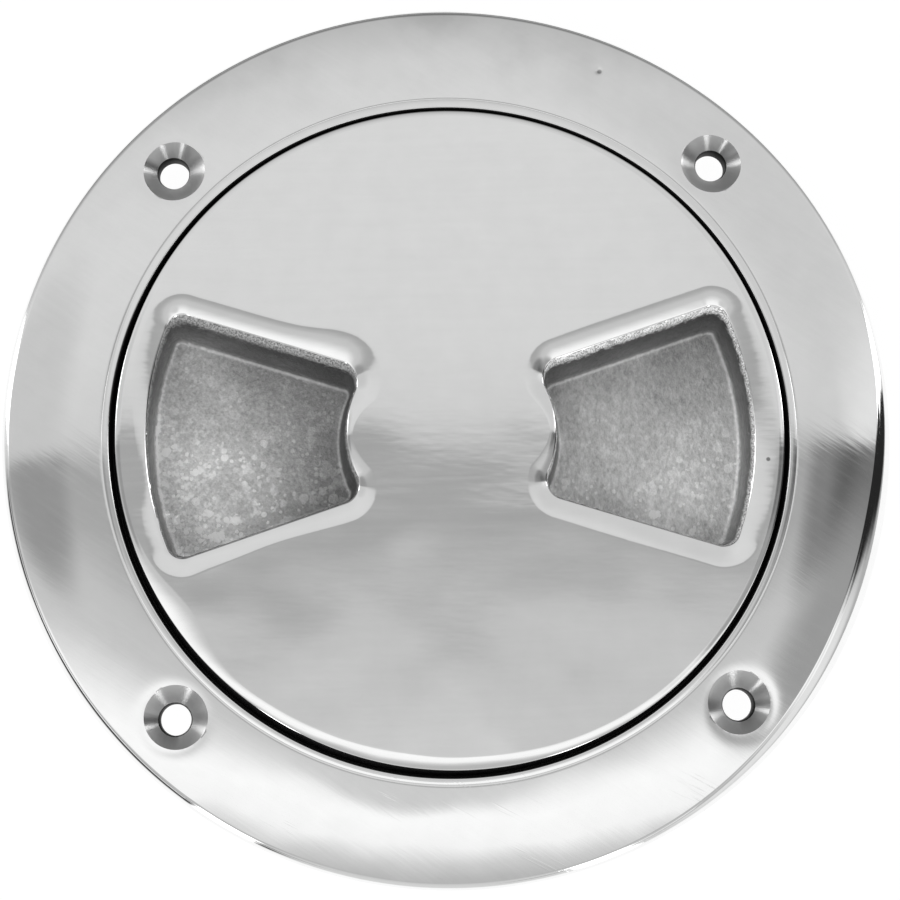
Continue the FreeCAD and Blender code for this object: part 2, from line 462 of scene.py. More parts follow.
def polished_shader(tree, coordinates, heights, stain, belt_stretch, belt_turn, belt_height):
    """A polished steel shader. Heights are in metres and bend what it mirrors.
    The stain darkens it, and on the flange it also holds a painted shade at the nick.
    """
    belt = streaks(tree, coordinates, belt_stretch, turn=belt_turn)
    fine = bumped(tree, belt, belt_height, normal=bumped(tree, heights, 1.0))
    haze = noise(tree, coordinates, haze_scale, 4.0)
    clear = calc(tree, "MULTIPLY_ADD", haze, 1.6, calc(tree, "SUBTRACT", belt, 0.8))
    tint = mixed(tree, clear, hazy_steel, bright_steel)
    return add_node(tree, "ShaderNodeBsdfPrincipled", {
        "Base Color": mixed(tree, stain, tint, stain_and_shade_steel), "Metallic": 1.0,
        "Roughness": remap(tree, belt, 0.3, 0.75, smooth, dull), "Normal": fine,
    }).outputs[0]


# %% A material to fill
def open_material(name):
    material = bpy.data.materials.new(name)
    material.use_nodes = True
    tree = material.node_tree
    tree.nodes.clear()
    coordinates = add_node(tree, "ShaderNodeTexCoord").outputs["Object"]
    return material, tree, coordinates


def finish_material(material, shader):
    add_node(material.node_tree, "ShaderNodeOutputMaterial", {"Surface": shader})
    print(material.name, "has", len(material.node_tree.nodes), "nodes")
    return material


# %% The cover's polish
cover_dents = [
    (-14.5, -6.0, 7.0, 75.0), (12.0, -3.0, 5.0, 25.0),
    (-39.0, -22.0, 4.0, 100.0), (-51.0, -12.0, 12.0, 150.0),
]
casting_pit = (49.5, -5.4, 0.42)
ripple_height = 6.0 * micron


def cover_polish():
    material, tree, coordinates = open_material("polished_steel")
    waves = uneven(tree, coordinates, scale=46.0, strongest=24.0, start=-6.0, end=-20.0)
    ripples = streaks(tree, coordinates, (130.0, 420.0, 130.0), 2.0, 4.0)
    heights = dented(tree, coordinates, cover_dents, waves)
    heights = calc(tree, "MULTIPLY_ADD", centred(tree, ripples), ripple_height, heights)
    return finish_material(material, polished_shader(
        tree, coordinates, heights, spot(tree, coordinates, *casting_pit),
        belt_stretch=(45.0, 900.0, 45.0), belt_turn=0.0, belt_height=0.9 * micron,
    ))


polished_steel = cover_polish()

# %% The flange's polish
nick_dent = (25.4, 59.0, 0.5, 90.0)
nick_shade = (25.6, 58.8, 0.5)
hair_height = 2.4 * micron


def flange_heights(tree, coordinates, y, blotches):
    """Waves and a nick, and near the front edge fine hairs that a worn belt left."""
    waves = uneven(tree, coordinates, scale=60.0, strongest=8.0, start=-40.0, end=-54.0)
    heights = dented(tree, coordinates, [nick_dent], waves)
    hairs = streaks(tree, coordinates, (90.0, 3200.0, 90.0), 1.0, 28.0)
    tallest = remap(tree, blotches, 0.50, 0.62, 0.0, hair_height)
    hairs = calc(tree, "MULTIPLY", remap(tree, hairs, 0.60, 0.72), tallest)
    return calc(tree, "MULTIPLY_ADD", hairs, remap(tree, y, -0.045, -0.056), heights)


def flange_polish():
    material, tree, coordinates = open_material("flange_steel")
    y = parted(tree, coordinates)[1]
    blotches = noise(tree, coordinates, 70.0, 4.0)
    stain = remap(tree, blotches, 0.42, 0.72, 0.0, 0.22)
    stain = calc(tree, "MULTIPLY", stain, remap(tree, y, 0.048, 0.066))
    # The dark spot at the nick is painted shade, mixed in with the stains
    painted_nick_shade = calc(tree, "MULTIPLY", spot(tree, coordinates, *nick_shade), 0.7)
    return finish_material(material, polished_shader(
        tree, coordinates, flange_heights(tree, coordinates, y, blotches),
        calc(tree, "MAXIMUM", stain, painted_nick_shade),
        belt_stretch=(130.0, 1300.0, 130.0), belt_turn=35.0, belt_height=2.4 * micron,
    ))


flange_steel = flange_polish()

# %% [markdown]
# ## The cast finish
# Steel that was poured into sand keeps the sand's grain: a dull grey face with small
# bright grains where raised spots caught a blast of grit. One bump at one size looks like
# orange peel. So a fine and a coarse noise are added together, and the grains are round
# spots out of a cell pattern, in two sizes, with worm-like runs between them. Steep walls
# get painted shade, darkest high up, and the round at their foot gets a painted highlight.
# In a pocket the polish ends at a torn strip, bright and rough, where the wheel dragged at
# the edge. It fades into the casting along a ragged line, so the pockets' material mixes
# the two by height, and it gives each pocket its own tone by its side of the plate. The
# strip has painted shade, darker in the left pocket and towards its foot, and the floors
# have painted shade that slants darker towards the back wall.


# %% Grains of cast steel
large_grains, small_grains = (640.0, 0.62), (1400.0, 0.6)  # scale, and the widest reach


def blobs(tree, coordinates, scale, reach):
    """Round spots: one for each cell of a cell pattern, with its own size."""
    cells = add_node(tree, "ShaderNodeTexVoronoi", {
        "Vector": coordinates, "Scale": scale,
    }).outputs
    lot = add_node(tree, "ShaderNodeSeparateColor", {0: cells["Color"]}).outputs[0]
    size = remap(tree, lot, 0.55, 1.0, 0.0, reach)
    return remap(tree, calc(tree, "SUBTRACT", size, cells["Distance"]), 0.0, 0.14)


def grains(tree, coordinates, coarse, patches, spotted):
    """Bright grains, more of them in some patches and towards the front."""
    large = blobs(tree, coordinates, *large_grains)
    small = blobs(tree, coordinates, *small_grains)
    worms = remap(tree, coarse, 0.53, 0.62, 0.0, 0.6)
    found = calc(tree, "MAXIMUM", large, calc(tree, "MAXIMUM", worms, small))
    front = remap(tree, parted(tree, coordinates)[1], 0.012, -0.016, 0.35, 1.0)
    some = calc(tree, "MULTIPLY", remap(tree, patches, 0.36, 0.60, 0.2, spotted), front)
    return calc(tree, "MULTIPLY", found, some)


# %% Tones of cast steel, with painted shade and a painted highlight
left_floor_middle = -0.033
# Painted shade on steep walls, darkest high up and lifted towards their foot
wall_heights, foot_heights = (0.0035, -0.0035), (-0.0034, -0.0052)
wall_shade_levels, foot_shade_lift = (0.22, 0.46), (0.0, 0.36)
steep, nearly_flat = 0.2, 0.92  # how far up a normal points


def slanted(tree, coordinates, tone, across, along):
    """Painted shade: a tone that changes by a share for each metre across X and along Y."""
    place = parted(tree, coordinates)
    from_middle = calc(tree, "SUBTRACT", place[0], left_floor_middle)
    gain = calc(tree, "MULTIPLY_ADD", from_middle, across, 1.0)
    gain = calc(tree, "MULTIPLY", gain, calc(tree, "MULTIPLY_ADD", place[1], along, 1.0))
    gain = calc(tree, "MINIMUM", calc(tree, "MAXIMUM", gain, 0.5), 1.6)
    return calc(tree, "MULTIPLY", tone, gain)


def wall_shade_and_foot_highlight(tree, coordinates, tone):
    """A tone with painted shade on steep walls, and a painted highlight on the round at their foot.
    """
    z = parted(tree, coordinates)[2]
    normal = add_node(tree, "ShaderNodeTexCoord").outputs["Normal"]
    rises = parted(tree, normal)[2]
    painted_wall_shade = remap(tree, z, *wall_heights, *wall_shade_levels)
    painted_wall_shade = calc(tree, "ADD", painted_wall_shade, remap(tree, z, *foot_heights, *foot_shade_lift))
    wall = remap(tree, rises, steep, nearly_flat, 1.0, 0.0)
    wall_shade_factor = calc(tree, "MULTIPLY_ADD", wall, calc(tree, "SUBTRACT", painted_wall_shade, 1.0), 1.0)
    foot_highlight = remap(tree, rises, 0.99, 0.8, 0.0, 0.22)
    foot = calc(tree, "MULTIPLY", remap(tree, rises, steep, 0.7), foot_highlight)
    return calc(tree, "ADD", calc(tree, "MULTIPLY", tone, wall_shade_factor), foot)


# %% Cast steel nodes
grain_scale, coarse_scale, patch_scale = 1900.0, 620.0, 120.0
sand_way = 35.0
cast_relief = 1.9e-4


def cast_shader(tree, coordinates, tone, spotted, stretch=(1.0, 1.0, 1.0), across=0.0, along=0.0):
    """A rough cast steel shader, with its tone, its share of bright grains, its slants of painted
    shade, and painted shade on walls with a painted highlight at their foot.
    """
    drawn = mapped(tree, coordinates, sand_way, stretch)
    grain = noise(tree, drawn, grain_scale, 4.0, 0.7)
    coarse = noise(tree, drawn, coarse_scale, 2.0)
    patches = noise(tree, coordinates, patch_scale, 2.0)
    spots = grains(tree, coordinates, coarse, patches, spotted)
    relief = calc(tree, "MULTIPLY_ADD", coarse, 0.7, grain)
    relief = calc(tree, "MULTIPLY_ADD", spots, 0.35, relief)
    mottle = calc(tree, "MULTIPLY_ADD", centred(tree, grain), 0.75, tone)
    mottle = calc(tree, "MULTIPLY_ADD", centred(tree, patches), 0.35, mottle)
    lighter = calc(tree, "MULTIPLY_ADD", spots, 0.40, mottle)
    # Painted shade from the slants and on steep walls, and a painted highlight at their foot
    lighter = wall_shade_and_foot_highlight(tree, coordinates, slanted(tree, coordinates, lighter, across, along))
    return add_node(tree, "ShaderNodeBsdfPrincipled", {
        "Base Color": grey_of(tree, lighter), "Metallic": 0.3, "Roughness": 0.45,
        "Normal": bumped(tree, relief, cast_relief),
    }).outputs[0]


cast_steel, tree, coordinates = open_material("cast_steel")
finish_material(cast_steel, cast_shader(tree, coordinates, tone=0.34, spotted=1.0))

# %% The torn strip below a pocket's edge
torn_foot = (cover_top - 1.9) * MM
torn_fade, torn_rise = 0.4 * MM, 1.2 * MM
raggedness = 6.0 * MM
speckle_stretch = (4200.0, 4200.0, 1500.0)


def torn_shader(tree, coordinates, z, side):
    """Bright, rough steel with painted shade: darker in the left pocket and towards its own foot.
    """
    speckle = streaks(tree, coordinates, speckle_stretch, 2.0)
    shade = remap(tree, speckle, 0.35, 0.62, 0.35, 0.95)
    # Painted shade: the left pocket's strip is darker, and each strip darkens towards its foot
    shade = calc(tree, "MULTIPLY", shade, calc(tree, "MULTIPLY_ADD", side, 0.6, 0.5))
    painted_depth_shade = remap(tree, z, torn_foot, torn_foot + torn_rise, 0.5, 1.0)
    shade = calc(tree, "MULTIPLY", shade, painted_depth_shade)
    return add_node(tree, "ShaderNodeBsdfPrincipled", {
        "Base Color": grey_of(tree, shade), "Metallic": 0.15, "Roughness": 0.3,
        "Normal": bumped(tree, speckle, 2.0e-4),
    }).outputs[0]


# %% The pockets' steel
def pocket_finish():
    material, tree, coordinates = open_material("pocket_steel")
    place = parted(tree, coordinates)
    side = remap(tree, place[0], -MM, MM)
    # The slants are painted shade: the floors darken towards the back wall, and the left one
    # towards the hub
    left = cast_shader(tree, coordinates, 0.50, 1.0, across=-40.0, along=-22.0)
    right = cast_shader(tree, coordinates, 0.52, 0.5, (1.0, 0.6, 1.0), along=-24.0)
    floors = add_node(tree, "ShaderNodeMixShader", {0: side, 1: left, 2: right}).outputs[0]
    ragged_line = centred(tree, noise(tree, coordinates, 900.0, 4.0, 0.7))
    height = calc(tree, "MULTIPLY_ADD", ragged_line, raggedness, place[2])
    torn = remap(tree, height, torn_foot - torn_fade, torn_foot + torn_fade)
    return finish_material(material, add_node(tree, "ShaderNodeMixShader", {
        0: torn, 1: floors, 2: torn_shader(tree, coordinates, place[2], side),
    }).outputs[0])


pocket_steel = pocket_finish()

# %% [markdown]
# ## The turned finish
# A countersink is cut by a tool that goes round, so it keeps hundreds of fine grooves,
# each a circle about the hole's axis. They spread a highlight across the grooves and
# draw it out into bright spokes. Real grooves would be far too many faces. The shader's
# anisotropy does the same work if it knows which way the grooves run, so the cone's faces
# get a UV map that goes round each hole, and the tangent is read from it. The bore and the
# threads are turned too, but nobody sees them closely, so streaks round the axis will do.

# %% Turned steel of the countersinks
groove_stretch, groove_depth = (3.0, 60.0, 1.0), 4.0 * micron
turned_steel, tree, coordinates = open_material("turned_steel")
groove_way = add_node(tree, "ShaderNodeTangent", direction_type="UV_MAP", uv_map="turned")
round_hole = add_node(tree, "ShaderNodeUVMap", uv_map="turned").outputs[0]
grooves = streaks(tree, round_hole, groove_stretch, 2.0)
finish_material(turned_steel, add_node(tree, "ShaderNodeBsdfPrincipled", {
    "Base Color": grey(0.62), "Metallic": 1.0, "Roughness": 0.32,
    "Anisotropic": 1.0, "Anisotropic Rotation": 0.25, "Tangent": groove_way.outputs[0],
    "Normal": bumped(tree, grooves, groove_depth),
}).outputs[0])

# %% Machined steel of the bore and the threads
machined_steel, tree, coordinates = open_material("machined_steel")
tool_marks = (60.0, 60.0, 4000.0)
marks = streaks(tree, coordinates, tool_marks)
finish_material(machined_steel, add_node(tree, "ShaderNodeBsdfPrincipled", {
    "Base Color": (0.62, 0.62, 0.61, 1.0), "Metallic": 1.0,
    "Roughness": remap(tree, marks, 0.3, 0.7, 0.22, 0.38),
    "Normal": bumped(tree, marks, 1.0e-5, 0.6),
}).outputs[0])

# %% [markdown]
# ## Painted shade in the gap, and rubber
# The gap round the cover is a black line, because almost no light that goes in comes out
# again. A traced picture would need many bounces to show that, and the polished walls
# would still glint. So the steep faces of the gap and the short step at the foot of each
# countersink get painted shade: a dark steel of their own. The rubber ring at the bottom
# is as black, with the faint bloom that rubber gets, and it hardly shines.

# %% Painted shade deep in the gap
shaded_steel, tree, coordinates = open_material("shaded_steel")
finish_material(shaded_steel, add_node(tree, "ShaderNodeBsdfPrincipled", {
    "Base Color": grey(0.035), "Metallic": 0.8, "Roughness": 0.55,
}).outputs[0])

# %% Seal rubber
black_rubber, bloomed_rubber = (0.008, 0.008, 0.009, 1.0), grey(0.022)
seal_rubber, tree, coordinates = open_material("seal_rubber")
bloom = noise(tree, coordinates, 700.0, 3.0)
finish_material(seal_rubber, add_node(tree, "ShaderNodeBsdfPrincipled", {
    "Base Color": mixed(tree, bloom, black_rubber, bloomed_rubber),
    "Roughness": remap(tree, bloom, 0.3, 0.7, 0.5, 0.66), "Specular IOR Level": 0.25,
    "Normal": bumped(tree, bloom, 2.0e-5, 0.4),
}).outputs[0])

# %% [markdown]
# ## The thread
# A thread is one shape drawn along a rule: a trapezoid that climbs one pitch for each
# turn. It could be a Screw modifier on a few edges, but a Geometry Nodes tree says the rule
# itself. A line of points is bent onto a helix by its own factor, the trapezoid is swept
# along it with its normal held upright, and the pitch, radii and widths are named inputs.
# The cover's ridge is joined to its skirt, and the same tree with wider sizes makes the
# body that is cut out of the frame's bore.


# %% The thread's section
def thread_section(tree, given):
    """A trapezoid with its root buried in the core and its crest outwards."""
    root = calc(tree, "MULTIPLY", given["Buried"], -1.0)
    root_below = calc(tree, "MULTIPLY", given["Half Root"], -1.0)
    crest_below = calc(tree, "MULTIPLY", given["Half Crest"], -1.0)
    corners = [
        (root, root_below), (given["Depth"], crest_below),
        (given["Depth"], given["Half Crest"]), (root, given["Half Root"]),
    ]
    section = add_node(tree, "GeometryNodeCurvePrimitiveQuadrilateral", mode="POINTS")
    for number, (out, rise) in enumerate(corners):
        point = add_node(tree, "ShaderNodeCombineXYZ", {0: out, 1: rise}).outputs[0]
        tree.links.new(point, section.inputs[f"Point {number + 1}"])
    return section.outputs[0]


# %% The thread's tree
def thread_tree():
    sizes = {
        "Pitch": 1.0, "Turns": 1.0, "Start Height": 0.0, "Root Radius": 1.0,
        "Buried": 0.0, "Depth": 1.0, "Half Root": 1.0, "Half Crest": 1.0, "Points": 10,
    }
    tree, given = open_tree("thread", **sizes)
    line = add_node(tree, "GeometryNodeCurvePrimitiveLine")
    fine = add_node(tree, "GeometryNodeResampleCurve", {
        "Curve": line.outputs[0], "Count": given["Points"],
    })
    along = add_node(tree, "GeometryNodeSplineParameter").outputs["Factor"]
    climb = calc(tree, "MULTIPLY", calc(tree, "MULTIPLY", along, given["Turns"]), given["Pitch"])
    height = calc(tree, "ADD", given["Start Height"], climb)
    turn = calc(tree, "MULTIPLY", calc(tree, "DIVIDE", height, given["Pitch"]), math.tau)
    place = add_node(tree, "ShaderNodeCombineXYZ", {
        0: calc(tree, "MULTIPLY", calc(tree, "COSINE", turn), given["Root Radius"]),
        1: calc(tree, "MULTIPLY", calc(tree, "SINE", turn), given["Root Radius"]),
        2: height,
    })
    helix = add_node(tree, "GeometryNodeSetPosition", {
        "Geometry": fine.outputs[0], "Position": place.outputs[0],
    })
    upright = add_node(tree, "GeometryNodeSetCurveNormal", {"Curve": helix.outputs[0]}, mode="Z_UP")
    ridge = add_node(tree, "GeometryNodeCurveToMesh", {
        "Curve": upright.outputs[0], "Profile Curve": thread_section(tree, given),
        "Fill Caps": True,
    })
    close_tree(tree, ridge.outputs[0], given["Material"])
    return tree


# %% Making a ridge
thread_rule = thread_tree()
points_per_turn = 120


def thread_ridge(name, root, crest, crest_width, start, turns, material):
    depth = crest - root
    buried = 0.3 * depth
    half_crest = crest_width / 2
    ridge = run_tree(empty_piece(name), thread_rule, material, **{
        "Pitch": thread_pitch, "Turns": turns, "Start Height": start, "Root Radius": root,
        "Buried": buried, "Depth": depth, "Half Crest": half_crest,
        "Half Root": half_crest + (depth + buried) * math.tan(thread_flank),
        "Points": int(turns * points_per_turn) + 1,
    })
    face_outwards(ridge)
    reach = max(vertex.co.xy.length for vertex in ridge.data.vertices)
    print(name, "crest radius", round(reach, 3), "faces", len(ridge.data.polygons))
    return ridge


root_width = thread_crest_width + 2 * thread_depth * math.tan(thread_flank)
ridge_start = skirt_end + thread_margin + root_width / 2
groove_start = ridge_start - thread_pitch
flank_gap = 0.3
groove_crest_width = thread_crest_width + 2 * flank_gap

# %% [markdown]
# ## The frame
# The frame is one casting: a crowned flange with a rolled edge, a recess for the cover,
# and a neck with the thread inside. Its crown is so shallow that it only shows in what it
# mirrors, so the arc has many rows. The edge was rolled over by hand: it is widest at the
# right, where it ends in a crease, and narrow at the top. A bevel would be as wide all
# round, so the width is a curve over the bearing. Around each hole the face sinks by a few
# hundredths of a millimetre, where the buffing wheel dipped, and that is what bends the
# reflections into the soft ring that a real polished plate has there.

# %% The crown
POLISHED, CAST, MACHINED, TURNED, SHADED = range(5)
columns = frame_columns(coarse=1.5, fine=0.4, reach=8.0)
crown_start = recess_radius + lip_band
crown_centre = flange_top - crown_radius
print("the frame's grid has", len(columns), "columns")


def crown_height(radius):
    return crown_centre + np.sqrt(crown_radius**2 - (radius - crown_start) ** 2)


# %% How wide the edge was rolled
def angle_from(angles, middle):
    """How far each angle is from a middle given in degrees, in degrees."""
    return np.degrees((angles - math.radians(middle) + math.pi) % math.tau - math.pi)


def swell(angles, middle, reach):
    """One at a middle, falling off to both sides, where reach is given in degrees."""
    return np.exp(-((angle_from(angles, middle) / reach) ** 2))


narrow, wider_at_right, wider_at_left = 0.7, 2.9, 0.4
at_right, at_left, at_top = -16, 205, 80
right_reach = np.where(angle_from(columns, at_right) > 0, 22, 36)
roll_width = narrow + wider_at_right * swell(columns, at_right, right_reach)
roll_width += wider_at_left * swell(columns, at_left, 40)
lip_edge = recess_radius - 0.38 * swell(columns, at_top, 75)
print("rolled edge from", round(roll_width.min(), 2), "to", round(roll_width.max(), 2), "mm wide")

# %% The rolled edge and the crown's rows
crease = math.radians(70)
crease_step = 0.035
roll_start = flange_radius - roll_width
roll_height = 1.1 * roll_width + 0.3
roll_foot = crown_height(roll_start) - roll_height
edge_rows = []
for turn in np.linspace(0, crease, 22)[:-1]:
    out = (math.cos(turn) - math.cos(crease)) / (1 - math.cos(crease))
    up = math.sin(turn) / math.sin(crease)
    edge_rows.append((roll_start + roll_width * out, roll_foot + roll_height * up))
edge_rows.append((roll_start, crown_height(roll_start) - crease_step))
crown_ends = roll_start, crown_start + 0.1
crown_radii = [crown_ends[0] - 2 * crease_step]
crown_radii += [
    crown_ends[0] + (crown_ends[1] - crown_ends[0]) * share for share in np.linspace(0, 1, 36)[1:]
]
crown_rows = [(radius, crown_height(radius)) for radius in crown_radii]
print("the crown is", round(flange_top - float(crown_height(roll_start).min()), 2), "mm high")

# %% The frame's section
neck_middle = (neck_radius + neck_round, -neck_round)
under_edge = 0.25
lip_depth, lip_foot = 0.9, 1.3
faint_line = 0.03  # how deep it is, between the crown and the lip
lip_top = flange_top - 0.05
lip_rows = [
    (crown_start, flange_top - faint_line), (crown_start - 0.08, flange_top - 0.005),
    (lip_edge + lip_round + hold, lip_top),
]
lip_rows += [
    (lip_edge + lip_round * (1 + math.cos(turn)), lip_top - lip_round * (1 - math.sin(turn)))
    for turn in np.radians(np.linspace(90, 180, 7))
]
frame_runs = [
    (MACHINED, [(bore_radius, neck_end + neck_round), (bore_radius + neck_round, neck_end)]),
    (CAST, [(neck_radius - neck_round, neck_end), (neck_radius, neck_end + neck_round)]),
    (CAST, arc(neck_middle, neck_round, 180, 90, 5)),
    (CAST, [(flange_radius - under_edge, 0.0)]),
    (POLISHED, [(flange_radius, under_edge)]),
    (POLISHED, edge_rows),
    (POLISHED, crown_rows),
    (POLISHED, lip_rows[:-4]),
    # Painted shade: the lip's steep rows, the recess wall and the ledge's outer ring get the dark
    # steel
    (SHADED, lip_rows[-4:]),
    (SHADED, [(lip_edge, flange_top - lip_depth), (recess_radius, flange_top - lip_foot)]),
    (SHADED, [(recess_radius, ledge_height), (recess_radius - lip_band, ledge_height)]),
    (MACHINED, [(bore_radius + lead_in, ledge_height), (bore_radius, ledge_height - lead_in)]),
]
print("the frame's section has", sum(len(run) for _, run in frame_runs), "points")

# %% The frame's turned body
radii, heights, materials = section_rows(frame_runs, len(columns))
dip_depth, dip_width = 0.07, 0.9


def sunk_by_wheel(radii, heights):
    """Lowers the face round each screw hole, most at the hole's edge."""
    x = radii * np.cos(columns)
    y = radii * np.sin(columns)
    for turn in np.radians(screw_angles()):
        away = np.hypot(x - screw_circle * math.cos(turn), y - screw_circle * math.sin(turn))
        past_hole = np.maximum(away - countersink_radius, 0)
        dip = dip_depth * np.exp(-((past_hole / dip_width) ** 1.3))
        heights = np.where(heights > flange_top / 2, heights - dip, heights)
    return heights


frame_body = turned(radii, sunk_by_wheel(radii, heights), columns, materials)
frame_materials = [flange_steel, cast_steel, machined_steel, turned_steel, shaded_steel]
frame_casting = piece_from(frame_body, "frame_casting", frame_materials)
print("frame grid", radii.shape, "faces", len(frame_casting.data.polygons))

# %% [markdown]
# ## The screw holes
# Four equal holes on a circle are a pattern, and a pattern is best made once. A cutter
# is turned from its own small section, with the through hole, a short steep step, the cone
# and the eased mouth, and a Geometry Nodes tree sets copies of it on a circle of points.
# The tree ends by making the copies real, and one Boolean cuts all of the holes together.


# %% The cutters' tree
def circle_tree():
    tree, given = open_tree("on_a_circle", **{"Count": 4, "Circle Radius": 1.0, "First Angle": 0.0})
    circle = add_node(tree, "GeometryNodeMeshCircle", {
        "Vertices": given["Count"], "Radius": given["Circle Radius"],
    })
    turn = add_node(tree, "ShaderNodeCombineXYZ", {2: given["First Angle"]})
    placed = add_node(tree, "GeometryNodeTransform", {
        "Geometry": circle.outputs[0], "Rotation": turn.outputs[0],
    })
    copies = add_node(tree, "GeometryNodeInstanceOnPoints", {
        "Points": placed.outputs[0], "Instance": given["Geometry"],
    })
    close_tree(tree, copies.outputs[0], given["Material"])
    return tree


# %% Cutting the holes
mouth = float(crown_height(screw_circle))
cone_end = mouth - (countersink_radius - screw_hole_radius)
ease, foot_step = 0.35, 0.36
past_face, past_back = 1.2, 1.0
cutter_points = [
    (0.0, -past_back), (screw_hole_radius, -past_back),
    (screw_hole_radius, cone_end - foot_step),
    (screw_hole_radius + foot_step * 0.6, cone_end + foot_step * 0.6),
    (countersink_radius - 0.12, mouth - 0.12), (countersink_radius + 0.02, mouth - 0.02),
    (countersink_radius + ease * 0.6, mouth + 0.06),
    (countersink_radius + 5 * ease, mouth + past_face), (0.0, mouth + past_face),
]
cutter_columns = even_columns(72)
radii, heights, materials = section_rows([(0, cutter_points)], len(cutter_columns))
cutter_body = turned(radii, heights, cutter_columns, materials)
hole_cutter = piece_from(cutter_body, "hole_cutter", [turned_steel])
run_tree(hole_cutter, circle_tree(), turned_steel, **{
    "Count": screw_count, "Circle Radius": screw_circle,
    "First Angle": math.radians(screw_first_angle),
})
combine(frame_casting, hole_cutter, "DIFFERENCE")
print("with its holes the frame has", len(frame_casting.data.polygons), "faces")

# %% Cutting the frame's thread
past_ledge = 1.0
groove_turns = (ledge_height + past_ledge - groove_start) / thread_pitch
frame_groove = thread_ridge(
    "frame_groove", bore_radius, groove_radius, groove_crest_width, groove_start, groove_turns,
    machined_steel,
)
combine(frame_casting, frame_groove, "DIFFERENCE")
print("with its thread the frame has", len(frame_casting.data.polygons), "faces")

# %% Shading and the way of the grooves
sharp_edge = math.radians(28)


def to_metres(piece):
    piece.data.transform(Matrix.Scale(MM, 4))
    piece.data.shade_smooth()
    piece.data.set_sharp_from_angle(angle=sharp_edge)
    piece.data.update()


def map_turned_faces(piece):
    """A UV map that goes round the nearest screw hole, and painted shade in the dark steel on the
    hole's wall and the step at the cone's foot.
    """
    mesh = piece.data
    layer = mesh.uv_layers.new(name="turned")
    foot_radius = (screw_hole_radius + 0.2) * MM
    holes = [
        Vector((math.cos(turn), math.sin(turn))) * screw_circle * MM
        for turn in np.radians(screw_angles())
    ]
    for face in mesh.polygons:
        if face.material_index != TURNED:
            continue
        hole = min(holes, key=lambda place: (face.center.xy - place).length)
        # Painted shade: the hole's wall and the step at the cone's foot get the dark steel
        if (face.center.xy - hole).length < foot_radius:
            face.material_index = SHADED
        ahead = math.atan2(*(face.center.xy - hole).yx)
        for loop in face.loop_indices:
            away = mesh.vertices[mesh.loops[loop].vertex_index].co.xy - hole
            turn = math.atan2(away.y, away.x)
            turn += math.tau * round((ahead - turn) / math.tau)
            layer.data[loop].uv = (turn, away.length / MM)


to_metres(frame_casting)
map_turned_faces(frame_casting)
print("frame materials", [material.name for material in frame_casting.data.materials])

# %% [markdown]
# ## The finger pockets
# Each pocket is a sector with rounded corners, and its wall runs down with a casting's
# draft to a rounded foot. Its mouth was worn by the buffing wheel: the face dips in a
# shallow dish that steepens towards the pocket, turns down over a small round, and ends in
# a torn strip, where the wheel dragged at the casting. A bevel has one radius all along,
# but a hand on a wheel does not. So the mouth is swept along the outline as a curve whose
# run changes from place to place, longer where the wheel was pressed on. The outline
# knows its own inward normal at every point, and any row of the pocket is the outline
# moved along that normal.


# %% Points along arcs and lines
def spaced(start, end, length, step):
    """Values from start up to end, as many as steps fit a length."""
    count = max(2, int(abs(length) / step))
    return np.linspace(start, end, count, endpoint=False)


def arc_points(middle, radius, turns, way=-1):
    """Points on an arc, each with its inward normal, towards the middle or away from it."""
    outs = [Vector((math.cos(turn), math.sin(turn))) for turn in turns]
    return [(middle + out * radius, out * way) for out in outs]


# %% The outline of a pocket
def pocket_outline(step=0.4):
    """Points of a pocket's outline on the +X side, with the inward normal at each."""
    outer_run, hub_run = pocket_outer - pocket_outer_corner, pocket_hub + pocket_hub_corner
    outer_rise = pocket_side_offset - pocket_outer_corner
    hub_rise = pocket_side_offset - pocket_hub_corner
    along = Vector((math.cos(pocket_side_angle), math.sin(pocket_side_angle)))
    away = Vector((-along.y, along.x))
    outer_middle = along * math.sqrt(outer_run**2 - outer_rise**2) + away * outer_rise
    hub_middle = along * math.sqrt(hub_run**2 - hub_rise**2) + away * hub_rise
    outer_turn = math.atan2(outer_middle.y, outer_middle.x)
    hub_turn = math.atan2(hub_middle.y, hub_middle.x)
    side_turn = math.pi / 2 + pocket_side_angle
    axis = Vector((0.0, 0.0))
    start = outer_middle + away * pocket_outer_corner
    end = hub_middle + away * pocket_hub_corner
    upper = arc_points(axis, pocket_outer, spaced(0, outer_turn, pocket_outer * outer_turn, step))
    corner = spaced(outer_turn, side_turn, pocket_outer_corner * side_turn, step / 2)
    upper += arc_points(outer_middle, pocket_outer_corner, corner)
    sides = spaced(0, 1, (end - start).length, step)
    upper += [(start.lerp(end, share), -away) for share in sides]
    corner = spaced(side_turn, math.pi + hub_turn, pocket_hub_corner * math.pi / 2, step / 2)
    upper += arc_points(hub_middle, pocket_hub_corner, corner)
    upper += arc_points(axis, pocket_hub, spaced(hub_turn, 0, pocket_hub * hub_turn, step), way=1)
    upper.append((Vector((pocket_hub, 0.0)), Vector((1.0, 0.0))))
    lower = [(Vector((p.x, -p.y)), Vector((n.x, -n.y))) for p, n in reversed(upper[1:-1])]
    places = np.array([tuple(p) for p, n in upper + lower])
    normals = np.array([tuple(n) for p, n in upper + lower])
    return places, normals


outline, inward = pocket_outline()
print("a pocket's outline has", len(outline), "points")

# %% The curve of a worn edge
dish_slope = math.radians(11.5)
break_radius = 0.28
break_end = math.radians(70)
break_width = break_radius * (math.sin(break_end) - math.sin(dish_slope))


